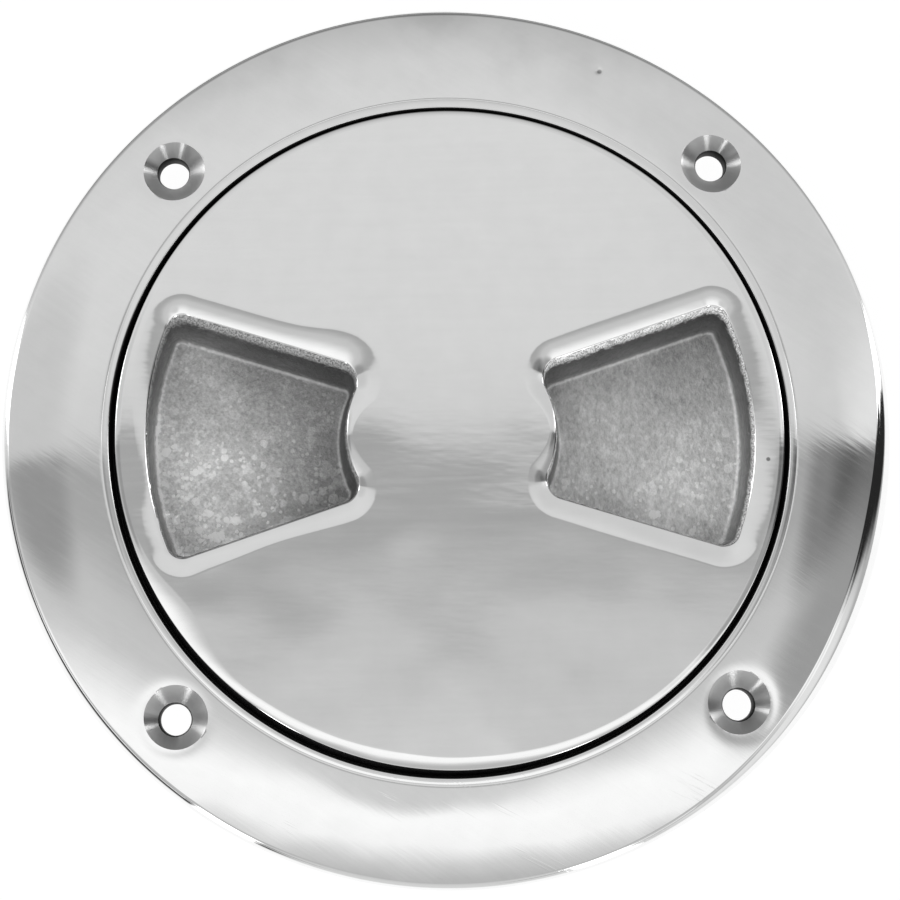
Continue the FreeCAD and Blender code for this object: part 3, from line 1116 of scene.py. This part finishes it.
def worn_edge(run, steps=16, finer=6):
    """Rows of distance from the edge and of depth: a dish that steepens, then a round."""
    share = np.linspace(0, 1, steps * finer + 1)
    tilt = dish_slope * np.minimum(1, share / 0.12) * (0.22 + 0.78 * share**1.2)
    slope = np.tan(tilt)
    fall = np.concatenate([[0], np.cumsum(slope[1:] + slope[:-1])]) / 2 / (steps * finer)
    rows = [
        (run * (1 - out) + break_width, run * down)
        for out, down in zip(share[::finer], fall[::finer])
    ]
    for turn in np.linspace(dish_slope, break_end, 6)[1:]:
        out = break_radius * (math.sin(turn) - math.sin(dish_slope))
        down = break_radius * (math.cos(dish_slope) - math.cos(turn))
        flat = 0.0 * run  # as many values as the run has
        rows.append((break_width - out + flat, run * fall[-1] + down))
    return rows


print("the dish falls by", round(float(worn_edge(1.0)[16][1]), 3), "mm for each mm of its run")

# %% How far the wheel went
dish_run = 3.4
wheel_touches = [  # X, Y, how much longer the dish is there, and how far that reaches
    (-17.0, 11.5, 1.6, 6.0), (-15.5, 0.0, -2.7, 6.5), (17.0, 0.0, -2.5, 6.5),
    (-47.5, -4.0, -2.2, 11.0), (-28.0, -14.0, -1.0, 10.0),
]


def dish_run_at(x, y):
    """The run of the dished mouth, longer where the wheel was pressed on."""
    run = np.full(x.shape, dish_run)
    for touch_x, touch_y, extra, reach in wheel_touches:
        run += extra * np.exp(-((x - touch_x) ** 2 + (y - touch_y) ** 2) / reach**2)
    return run


for side in (1, -1):
    dish = dish_run_at(outline[:, 0] * side, outline[:, 1])
    print("the dish runs", round(dish.min(), 2), "to", round(dish.max(), 2), "mm at side", side)

# %% How the wall leans, and how wide it is torn
torn_depth, least_torn = 0.95, 0.10
less_at_outer = 6.3
mouth_out = 0.45  # how far the wall's top lies outside the outline
# How squarely each point of the wall faces the front, and how squarely the axis:
at_back = np.maximum(0, -inward[:, 1]) ** 2
at_outer = np.maximum(0, -inward[:, 0]) ** 2


def lean_at(side):
    """The draft of the wall at each point: more at the back wall, less at the outer one."""
    more_at_back = 2.4 if side < 0 else 1.6
    return pocket_draft + np.radians(more_at_back * at_back - less_at_outer * at_outer)


def torn_at(side):
    """The width of the torn strip below the edge at each point."""
    back, outer = (0.75, 0.0) if side < 0 else (0.60, 0.22)
    return least_torn + back * at_back + outer * at_outer


for side in (1, -1):
    lean = np.degrees(lean_at(side))
    print("the wall leans by", round(lean.min(), 1), "to", round(lean.max(), 1), "degrees")


# %% Rows of a pocket's mouth and wall
edge_rough, torn_rough, wall_rough, foot_rough = 0.10, 0.16, 0.08, 0.05


def mouth_rows(run, draft, torn):
    """Inset, height and roughness of the rows down to the torn strip, and its depth."""
    worn = worn_edge(run)
    edge_depth = worn[-1][1]
    edge_inset = edge_depth * draft - mouth_out - torn
    rows = [(edge_inset - worn[0][0] - hold, cover_top + 0.0 * run, 0.0)]
    rows += [(edge_inset - away, cover_top - down, 0.0) for away, down in worn[:-1]]
    rows.append((edge_inset, cover_top - edge_depth, edge_rough))
    for share in (0.33, 0.67):
        depth = edge_depth + torn_depth * share
        left_over = torn * (1 - share) ** 1.3
        rows.append((depth * draft - mouth_out - left_over, cover_top - depth, torn_rough))
    return rows, edge_depth + torn_depth


def wall_rows(lean, wall_start):
    """Inset, height and roughness of the rows from the torn strip down to the floor."""
    draft = np.tan(lean)
    foot_top = pocket_floor + pocket_floor_round * (1 - np.sin(lean))
    wall_height = cover_top - wall_start - foot_top
    rows = []
    for share in np.linspace(0, 1, 11):
        depth = wall_start + wall_height * share
        rows.append((depth * draft - mouth_out, cover_top - depth, wall_rough))
    foot_inset = (cover_top - foot_top) * draft - mouth_out + pocket_floor_round * np.cos(lean)
    for turn in np.radians(np.linspace(0, 90, 7))[1:]:
        bend = lean + turn * (1 - lean / (math.pi / 2))
        height = pocket_floor + pocket_floor_round * (1 - np.sin(bend))
        rows.append((foot_inset - pocket_floor_round * np.cos(bend), height, foot_rough))
    return rows


# %% All rows of a pocket
def ragged(x, y, z, amount):
    """A slow and a fast ripple in place, for the cast wall and its broken edge."""
    slow = np.sin(x * 2.1 + y * 1.3) * np.sin(y * 2.7 - x * 0.7 + z)
    fast = np.sin(x * 7.3 - y * 5.1 + z * 3.0) * np.sin(y * 8.9 + x * 3.7)
    return amount * (0.55 * slow + 0.45 * fast)


def pocket_rows(side):
    """Rows of points from the face down to the floor, for the pocket at +X or at -X."""
    run = dish_run_at(outline[:, 0] * side, outline[:, 1])
    lean = lean_at(side)
    rows, wall_start = mouth_rows(run, np.tan(lean), torn_at(side))
    normal_x, normal_y = inward[:, 0] * side, inward[:, 1]
    made = []
    for inset, height, rough in rows + wall_rows(lean, wall_start):
        x = outline[:, 0] * side + normal_x * inset
        y = outline[:, 1] + normal_y * inset
        push = ragged(x, y, height, rough)
        made.append(np.stack([x + normal_x * push, y + normal_y * push, height], axis=1))
    return made


print("a pocket has", len(pocket_rows(1)), "rows from its face to its floor")

# %% The floor of a pocket
def inside_of(ring, x, y):
    """True for points inside a closed ring, counted by the edges that a ray crosses."""
    ax, ay = ring[:, 0], ring[:, 1]
    bx, by = np.roll(ax, -1), np.roll(ay, -1)
    crosses = (ay > y[:, None]) != (by > y[:, None])
    reach = (bx - ax) * (y[:, None] - ay) / np.where(by == ay, 1e-9, by - ay) + ax
    return (np.sum(crosses & (x[:, None] < reach), axis=1) % 2) == 1


def floor_faces(ring, spacing=0.7, relief=0.07):
    """Triangles that fill a ring at the floor, with the uneven skin of sand."""
    low, high = ring.min(axis=0), ring.max(axis=0)
    grid = np.meshgrid(*(np.arange(low[axis], high[axis], spacing) for axis in (0, 1)))
    x, y = grid[0].ravel(), grid[1].ravel()
    x = x + 0.25 * spacing * np.sin(y * 9.1)
    near = np.min(np.hypot(x[:, None] - ring[::3, 0], y[:, None] - ring[::3, 1]), axis=1)
    keep = inside_of(ring, x, y) & (near > spacing * 0.8)
    count = len(ring)
    flat = [Vector(place) for place in [*ring[:, :2], *zip(x[keep], y[keep])]]
    edges = [(number, (number + 1) % count) for number in range(count)]
    places, _, faces, *_ = delaunay_2d_cdt(flat, edges, [], 1, 1e-6)
    points = []
    for number, place in enumerate(places):
        lift = 0.0 if number < count else ragged(place.x * 0.5, place.y * 0.5, 0.0, relief)
        points.append((place.x, place.y, ring[0, 2] + lift))
    return points, faces


# %% [markdown]
# ## The cover
# The cover is one casting too. Its flat face carries the two pockets. Its edge is rolled
# off, more at the front and most at one spot at the left of it, and the rim is worn a
# little out of round there, which widens the gap. Below are the rim that presses on the
# seal, the collar, the skirt with its thread, and the outer shells of the pockets. A
# Boolean can't cut a mouth that meets the face at no angle at all, so the cover is made in
# two halves. The lower half is turned, gets its shells and its thread with Booleans, and is
# opened at the top. The upper half is drawn as one skin, face, pockets and edge, and the
# two are stitched at a ring of points that both share.

# %% The lower half of the cover
POCKET, SHADED_RIM = 3, 4
cover_columns = even_columns(300)
rim_radius = cover_radius - 0.36 * swell(cover_columns, -125, 50)
seam_height = cover_top - edge_drop
inner_middle = (skirt_inner - inner_round, plate_under - inner_round)
lower_runs = [
    (CAST, [(0.0, seam_height)]),
    (POLISHED, [(rim_radius, seam_height)]),
    # Painted shade: the rim's wall below the seam gets the dark steel
    (SHADED_RIM, [(rim_radius, rim_under + 0.2), (rim_radius - 0.2, rim_under)]),
    (MACHINED, [(collar_radius, rim_under), (collar_radius, collar_end)]),
    (MACHINED, [(skirt_radius, collar_end), (skirt_radius, skirt_end + skirt_chamfer)]),
    (MACHINED, [(skirt_radius - skirt_chamfer, skirt_end), (skirt_inner, skirt_end)]),
    (CAST, arc(inner_middle, inner_round, 0, 90, 8)),
    (CAST, [(0.0, plate_under)]),
]
radii, heights, materials = section_rows(lower_runs, len(cover_columns))
lower_body = turned(radii, heights, cover_columns, materials)
cover_materials = [polished_steel, cast_steel, machined_steel, pocket_steel, shaded_steel]
lower_half = piece_from(lower_body, "cover_casting", cover_materials)
print("the cover's rim is", round(2 * rim_radius.min(), 2), "mm wide where it is worn")

# %% The shells of the pockets
shell_reach = (skirt_radius + skirt_inner) / 2


def shell_block(side):
    """The outer form of a pocket, from inside the plate down to its rounded end."""
    draft = math.tan(pocket_draft)
    round_top = shell_end + shell_round
    levels = [(plate_under + 1.0, 0.0), (round_top, 0.0)]
    levels += [
        (round_top - shell_round * math.sin(turn), shell_round * (1 - math.cos(turn)))
        for turn in np.radians([15, 30, 45, 60, 75, 90])
    ]
    made = bmesh.new()
    rings = []
    for height, extra in levels:
        inset = -pocket_wall + (cover_top - max(height, round_top)) * draft + extra
        x = outline[::2, 0] + inward[::2, 0] * inset
        y = outline[::2, 1] + inward[::2, 1] * inset
        pull = np.minimum(1.0, shell_reach / np.hypot(x, y)) * side
        rings.append([made.verts.new((a, b, height)) for a, b in zip(x * pull, y * pull)])
    for above, below in zip(rings, rings[1:]):
        for number in range(len(above)):
            beside = (number + 1) % len(above)
            made.faces.new([above[number], above[beside], below[beside], below[number]])
    made.faces.new(rings[0])
    made.faces.new(rings[-1])
    for face in made.faces:
        face.material_index = CAST
    bmesh.ops.recalc_face_normals(made, faces=made.faces)
    return piece_from(made, "shell", cover_materials)


for side in (1, -1):
    combine(lower_half, shell_block(side), "UNION")
cover_ridge = thread_ridge(
    "cover_ridge", skirt_radius, thread_crest, thread_crest_width, ridge_start, thread_turns,
    machined_steel,
)
combine(lower_half, cover_ridge, "UNION")
print("lower half of the cover:", len(lower_half.data.polygons), "faces")

# %% The upper half of the cover
edge_run = 0.8
edge_runs = edge_run + 1.3 * swell(cover_columns, -98, 32) + 2.3 * swell(cover_columns, -147, 9)
print("the cover's edge runs", round(edge_runs.min(), 2), "to", round(edge_runs.max(), 2), "mm in")


def add_ring(made, places):
    return [made.verts.new(tuple(place)) for place in places]


def bridge(made, outer, inner, material):
    """A band of faces between two rings with as many points."""
    for number in range(len(outer)):
        beside = (number + 1) % len(outer)
        face = made.faces.new([outer[number], outer[beside], inner[beside], inner[number]])
        face.material_index = material


# %% The skin's edge
skin = bmesh.new()
skin.from_mesh(lower_half.data)
lids = [f for f in skin.faces if all(abs(v.co.z - seam_height) < 1e-4 for v in f.verts)]
bmesh.ops.delete(skin, geom=lids, context="FACES")
flat = 0.0 * edge_runs
# Painted shade: the first rows of the edge, up from the seam, get the dark steel
shaded_rows = 4
edge_profile = [
    (flat, flat + edge_drop), *reversed(worn_edge(edge_runs)),
    (edge_runs + break_width + hold, flat),
]
edge_rings = []
for away, down in edge_profile:
    x = (rim_radius - away) * np.cos(cover_columns)
    y = (rim_radius - away) * np.sin(cover_columns)
    edge_rings.append(add_ring(skin, np.stack([x, y, cover_top - down], axis=1)))
for number, (outer, inner) in enumerate(zip(edge_rings, edge_rings[1:])):
    bridge(skin, outer, inner, SHADED_RIM if number < shaded_rows else POLISHED)
print("the skin's edge has", len(edge_rings), "rings, and its first", shaded_rows, "are dark")

# %% The skin's pockets
mouths = []
polished_rows = len(worn_edge(edge_run))
for side in (1, -1):
    rings = [add_ring(skin, row) for row in pocket_rows(side)]
    for number, (outer, inner) in enumerate(zip(rings, rings[1:])):
        bridge(skin, outer, inner, POLISHED if number < polished_rows else POCKET)
    floor_ring = np.array([tuple(vertex.co) for vertex in rings[-1]])
    points, faces = floor_faces(floor_ring)
    floor_verts = rings[-1] + [skin.verts.new(point) for point in points[len(floor_ring):]]
    for face in faces:
        skin.faces.new([floor_verts[number] for number in face]).material_index = POCKET
    mouths.append(rings[0])
print("the skin has", len(skin.verts), "points")

# %% Closing the face and the seam
outlines = [edge_rings[-1], *mouths]
flat_verts = [vertex for ring in outlines for vertex in ring]
for triangle in tessellate_polygon([[vertex.co for vertex in ring] for ring in outlines]):
    skin.faces.new([flat_verts[number] for number in triangle]).material_index = POLISHED
bmesh.ops.remove_doubles(skin, verts=skin.verts, dist=2e-4)
bmesh.ops.recalc_face_normals(skin, faces=skin.faces)
open_edges = sum(1 for edge in skin.edges if len(edge.link_faces) != 2)
print("cover faces", len(skin.faces), "open edges", open_edges)
skin.to_mesh(lower_half.data)
skin.free()
cover_casting = lower_half
to_metres(cover_casting)

# %% [markdown]
# ## The seal ring
# A round rubber cord lies in the recess and is squeezed flat by the cover's rim. It is a
# section swept round a circle, so a small Geometry Nodes tree makes it: a rectangle whose
# corners are filleted until its ends are half circles, drawn round a circle.


# %% The ring's tree
def ring_tree():
    sizes = {"Middle Radius": 1.0, "Width": 1.0, "Height": 1.0, "Corner": 0.5, "Points": 100}
    tree, given = open_tree("squeezed_ring", **sizes)
    circle = add_node(tree, "GeometryNodeCurvePrimitiveCircle", {
        "Resolution": given["Points"], "Radius": given["Middle Radius"],
    })
    upright = add_node(tree, "GeometryNodeSetCurveNormal", {
        "Curve": circle.outputs[0],
    }, mode="Z_UP")
    block = add_node(tree, "GeometryNodeCurvePrimitiveQuadrilateral", {
        "Width": given["Width"], "Height": given["Height"],
    }, mode="RECTANGLE")
    rounded = add_node(tree, "GeometryNodeFilletCurve", {
        "Curve": block.outputs[0], "Radius": given["Corner"], "Count": 8,
    }, mode="POLY")
    cord = add_node(tree, "GeometryNodeCurveToMesh", {
        "Curve": upright.outputs[0], "Profile Curve": rounded.outputs[0],
    })
    close_tree(tree, cord.outputs[0], given["Material"])
    return tree


# %% Making the ring
ring_width = 2.5
ring_height = ring_top - ring_under
seal_band = run_tree(empty_piece("seal_band"), ring_tree(), seal_rubber, **{
    "Middle Radius": ring_outer - ring_width / 2, "Width": ring_width, "Height": ring_height,
    "Corner": ring_height / 2 - hold, "Points": 240,
})
seal_band.data.transform(Matrix.Translation((0, 0, (ring_top + ring_under) / 2)))
face_outwards(seal_band)
to_metres(seal_band)
print("seal band", [round(value, 5) for value in seal_band.dimensions])

# %% [markdown]
# ## The surroundings
# A mirror shows nothing but its surroundings, so they are part of the look. Lamps alone
# would leave hard shapes in the steel, and a picture of a studio would bring its own room.
# So the world is drawn as a smooth function of direction. A slanting edge parts a light
# half, behind the plate, from a half in front of it that starts darker, rises to a white
# field and falls again. Soft patches shade places in both. Dark ones, low at the left and
# the right, give the rounded edge something dark to mirror, and four lamps, tall and narrow,
# draw the bright lines on the rounds and in the countersinks.

# %% Two halves and their levels
edge_slope = 0.166
front_levels = [  # how far past the edge, and how light it is there
    (-1.00, 0.70), (-0.72, 0.62), (-0.56, 0.48), (-0.49, 0.50), (-0.44, 0.66), (-0.39, 0.98),
    (-0.30, 1.03), (-0.26, 0.95), (-0.20, 0.72), (-0.165, 0.60), (-0.105, 0.565),
    (-0.080, 0.485), (-0.050, 0.415), (-0.007, 0.385),
]
back_levels = [
    (0.003, 0.60), (0.016, 0.66), (0.06, 0.70), (0.18, 0.715), (0.34, 0.66), (0.46, 0.54),
    (0.70, 0.24), (1.00, 0.12),
]
world = bpy.data.worlds.new("studio")
bpy.context.scene.world = world
world.use_nodes = True
sky = world.node_tree
sky.nodes.clear()
way = add_node(sky, "ShaderNodeTexCoord").outputs["Generated"]
parts = parted(sky, way)
past_edge = calc(sky, "MULTIPLY_ADD", parts[2], -edge_slope, parts[1])
ramp = add_node(sky, "ShaderNodeValToRGB", {0: calc(sky, "MULTIPLY_ADD", past_edge, 0.5, 0.5)})
ramp.color_ramp.interpolation = "LINEAR"
stops = ramp.color_ramp.elements
band_levels = front_levels + back_levels
while len(stops) < len(band_levels):
    stops.new(0.5)
for stop, (place, level) in zip(stops, band_levels):
    stop.position = place * 0.5 + 0.5
    stop.color = grey(level)
print("the sky has", len(stops), "levels")


# %% Moving a level towards another
def toward(base, level, mask):
    """Moves a brightness towards a level where a mask says."""
    inputs = {"Factor": mask, 2: base, 3: level}
    return add_node(sky, "ShaderNodeMix", inputs, data_type="FLOAT").outputs[0]


def facing(direction, aim, inner, outer):
    """1 within inner degrees of an aim, falling to 0 at outer degrees."""
    match = vector_calc(sky, "DOT_PRODUCT", direction, tuple(Vector(aim).normalized()))["Value"]
    return remap(sky, match, math.cos(math.radians(outer)), math.cos(math.radians(inner)))


def level_aim(bearing, height=0.0):
    """A way out at a bearing in degrees, raised by a height."""
    return math.cos(math.radians(bearing)), math.sin(math.radians(bearing)), height


# %% Soft patches overhead
edge_blur = 0.006
below = remap(sky, past_edge, edge_blur, -edge_blur)
above = calc(sky, "SUBTRACT", 1.0, below)
soft_patches = [  # where it lies, where its soft border starts and ends, its level, its half
    ((0.37, 0.12, 1.0), 2.0, 6.0, 0.22, below), ((0.52, 0.10, 1.0), 3.0, 8.5, 0.11, below),
    ((0.66, 0.02, 1.0), 4.0, 12.0, 0.20, below), ((0.46, -0.06, 1.0), 2.0, 10.0, 0.34, below),
    ((-0.39, 0.125, 1.0), 2.5, 7.0, 0.31, below), ((0.01, -0.05, 1.0), 1.0, 5.0, 0.64, below),
    ((0.52, 0.24, 1.0), 2.0, 6.0, 0.82, above), ((0.38, 0.42, 1.0), 4.0, 14.0, 0.625, above),
    ((-0.42, 0.25, 1.0), 3.0, 9.0, 0.60, above),
]
light = ramp.outputs[0]
for aim, inner, outer, level, half in soft_patches:
    mask = calc(sky, "MULTIPLY", facing(way, aim, inner, outer), half)
    light = toward(light, level, mask)
print(len(soft_patches), "soft patches")

# %% Low patches, which the rounded edges mirror
low_way = remap(sky, parts[2], 0.22, 0.04)
from_front = remap(sky, parts[1], 0.5, 0.1)
light = toward(light, 0.95, calc(sky, "MULTIPLY", low_way, from_front))
low_patches = [((1.0, -0.15, 0.10), 15.0, 40.0, 0.45)]
low_patches += [((1.0, 0.13, rise), 9.0, 16.0, 0.02) for rise in (0.30, 0.58, 0.90)]
low_patches += [(level_aim(bearing, 0.45), 7.0, 14.0, 0.05) for bearing in (186, 202, 218, 234)]
low_patches += [((0.85, -0.52, 0.45), 10.0, 24.0, 0.80)]
for aim, inner, outer, level in low_patches:
    light = toward(light, level, facing(way, aim, inner, outer))
print(len(low_patches), "low patches")

# %% Lamps in the surroundings
lamps = [  # bearing, half width and level
    (18, 7, 3.2), (160, 8, 3.0), (235, 5.5, 3.2), (295, 5.5, 3.2),
]
flat_way = vector_calc(sky, "MULTIPLY", way, (1.0, 1.0, 0.0))["Vector"]
flat_way = vector_calc(sky, "NORMALIZE", flat_way)["Vector"]
lamp_foot, lamp_head = remap(sky, parts[2], 0.05, 0.2), remap(sky, parts[2], 0.82, 0.70)
lamp_height = calc(sky, "MULTIPLY", lamp_foot, lamp_head)
for bearing, half_width, level in lamps:
    lit = facing(flat_way, level_aim(bearing), half_width * 0.4, half_width)
    light = toward(light, level, calc(sky, "MULTIPLY", lit, lamp_height))
slightly_green = calc(sky, "MULTIPLY", light, 1.003)  # the faint green of steel
colour = add_node(sky, "ShaderNodeCombineColor", {0: light, 1: slightly_green, 2: light})
glow = add_node(sky, "ShaderNodeBackground", {"Color": colour.outputs[0], "Strength": 1.0})
add_node(sky, "ShaderNodeOutputWorld", {"Surface": glow.outputs[0]})
print("the surroundings take", len(sky.nodes), "nodes")

# %% [markdown]
# ## The floor and a lamp
# The plate lies on white with no border and hardly a shadow. Paper under a lamp always comes
# out a little grey, and a mirror above it would show that. So the floor glows by itself
# for the camera and for what the steel mirrors, and stays matt for the light that it
# throws up under the flange. One soft lamp from the front adds the little shade that there is.

# %% The floor
floor_reach = 4.0
floor_mesh = bpy.data.meshes.new("floor")
corners = [
    (x * floor_reach, y * floor_reach, neck_end * MM)
    for x, y in ((-1, -1), (1, -1), (1, 1), (-1, 1))
]
floor_mesh.from_pydata(corners, [], [(0, 1, 2, 3)])
floor = bpy.data.objects.new("floor", floor_mesh)
bpy.context.collection.objects.link(floor)
print("the floor lies at", round(corners[0][2], 4), "m")

# %% The floor's paper
floor_paper, tree, coordinates = open_material("floor_paper")
ray = add_node(tree, "ShaderNodeLightPath").outputs
in_mirror = calc(tree, "ADD", ray["Is Glossy Ray"], ray["Is Transmission Ray"])
seen = calc(tree, "MINIMUM", calc(tree, "ADD", ray["Is Camera Ray"], in_mirror), 1.0)
matt = add_node(tree, "ShaderNodeBsdfDiffuse", {"Color": grey(0.82)})
bright = add_node(tree, "ShaderNodeEmission", {"Color": grey(1.0), "Strength": 1.04})
finish_material(floor_paper, add_node(tree, "ShaderNodeMixShader", {
    0: calc(tree, "MULTIPLY", seen, 0.93), 1: matt.outputs[0], 2: bright.outputs[0],
}).outputs[0])
floor_mesh.materials.append(floor_paper)

# %% A soft lamp
lamp_data = bpy.data.lights.new("soft_lamp", "AREA")
lamp_data.shape = "DISK"
lamp_data.size = 0.7
lamp_data.energy = 5.0  # watts
lamp = bpy.data.objects.new("soft_lamp", lamp_data)
lamp.location = (-0.35, -0.55, 0.95)
lamp.rotation_euler = (-Vector(lamp.location)).to_track_quat("-Z", "Y").to_euler()
lamp.visible_glossy = False
bpy.context.collection.objects.link(lamp)
print("lamp", lamp_data.energy, "W, away by", round(lamp.location.length, 2), "m")

# %% [markdown]
# ## The camera
# The plate is seen from nearly overhead, from a little towards the front and the left, so
# the walls at the back of the pockets show and those at the front don't. Distance matters
# as much as direction: from close by, the holes at the far side lean more than the near
# ones. A shifted lens would keep the flange rounder from further aside, but it moves the
# whole picture in any other view. So the camera stands close, with a small tilt and a plain
# lens, and the lens follows from how wide the flange is in the picture.

# %% The camera's place
tilt = math.radians(10)
swing = math.radians(-14)
roll = math.radians(1.2)
distance = 290.0
half_view = 0.2462  # half of the picture's width, at a distance of one
aim_point = Vector((-0.16, -2.19, 0.5)) * MM
way_up = Vector((
    math.sin(swing) * math.sin(tilt), -math.cos(swing) * math.sin(tilt), math.cos(tilt),
))
camera_data = bpy.data.cameras.new("camera")
camera_data.sensor_width = 36.0
camera_data.lens = camera_data.sensor_width / 2 / half_view
camera_data.clip_start = 0.01
print("lens", round(camera_data.lens, 1), "mm")

# %% Turning it to the plate
camera = bpy.data.objects.new("camera", camera_data)
camera.location = way_up * distance * MM
look = (aim_point - camera.location).normalized()
right = Vector((math.cos(roll), -math.sin(roll), 0.0))
right = (right - look * right.dot(look)).normalized()
turn = Matrix((right, right.cross(look), -look)).transposed()
camera.rotation_euler = turn.to_euler()
bpy.context.collection.objects.link(camera)
bpy.context.scene.camera = camera
bpy.context.scene.view_settings.view_transform = "Standard"
print("camera at", [round(value, 3) for value in camera.location])

# %% [markdown]
# ## Handing the pieces to their bodies
# The CAD solids stay in the simulation, and each finished piece stands for one of them.
# It rides on the body that the solid belongs to, so the cover turns and rises with the
# screw joint, and the seal ring rises with it.

# %% Riding and replacing
for piece, body, node_name, slot in (
    (frame_casting, "frame", "frame", "frame_steel"),
    (cover_casting, "cover", "cover", "cover_steel"),
    (seal_band, "seal_ring", "seal_ring", "seal_rubber"),
):
    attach(piece, body)
    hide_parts(node_name)
    piece.data.calc_loop_triangles()
    print(piece.name, "triangles", len(piece.data.loop_triangles))
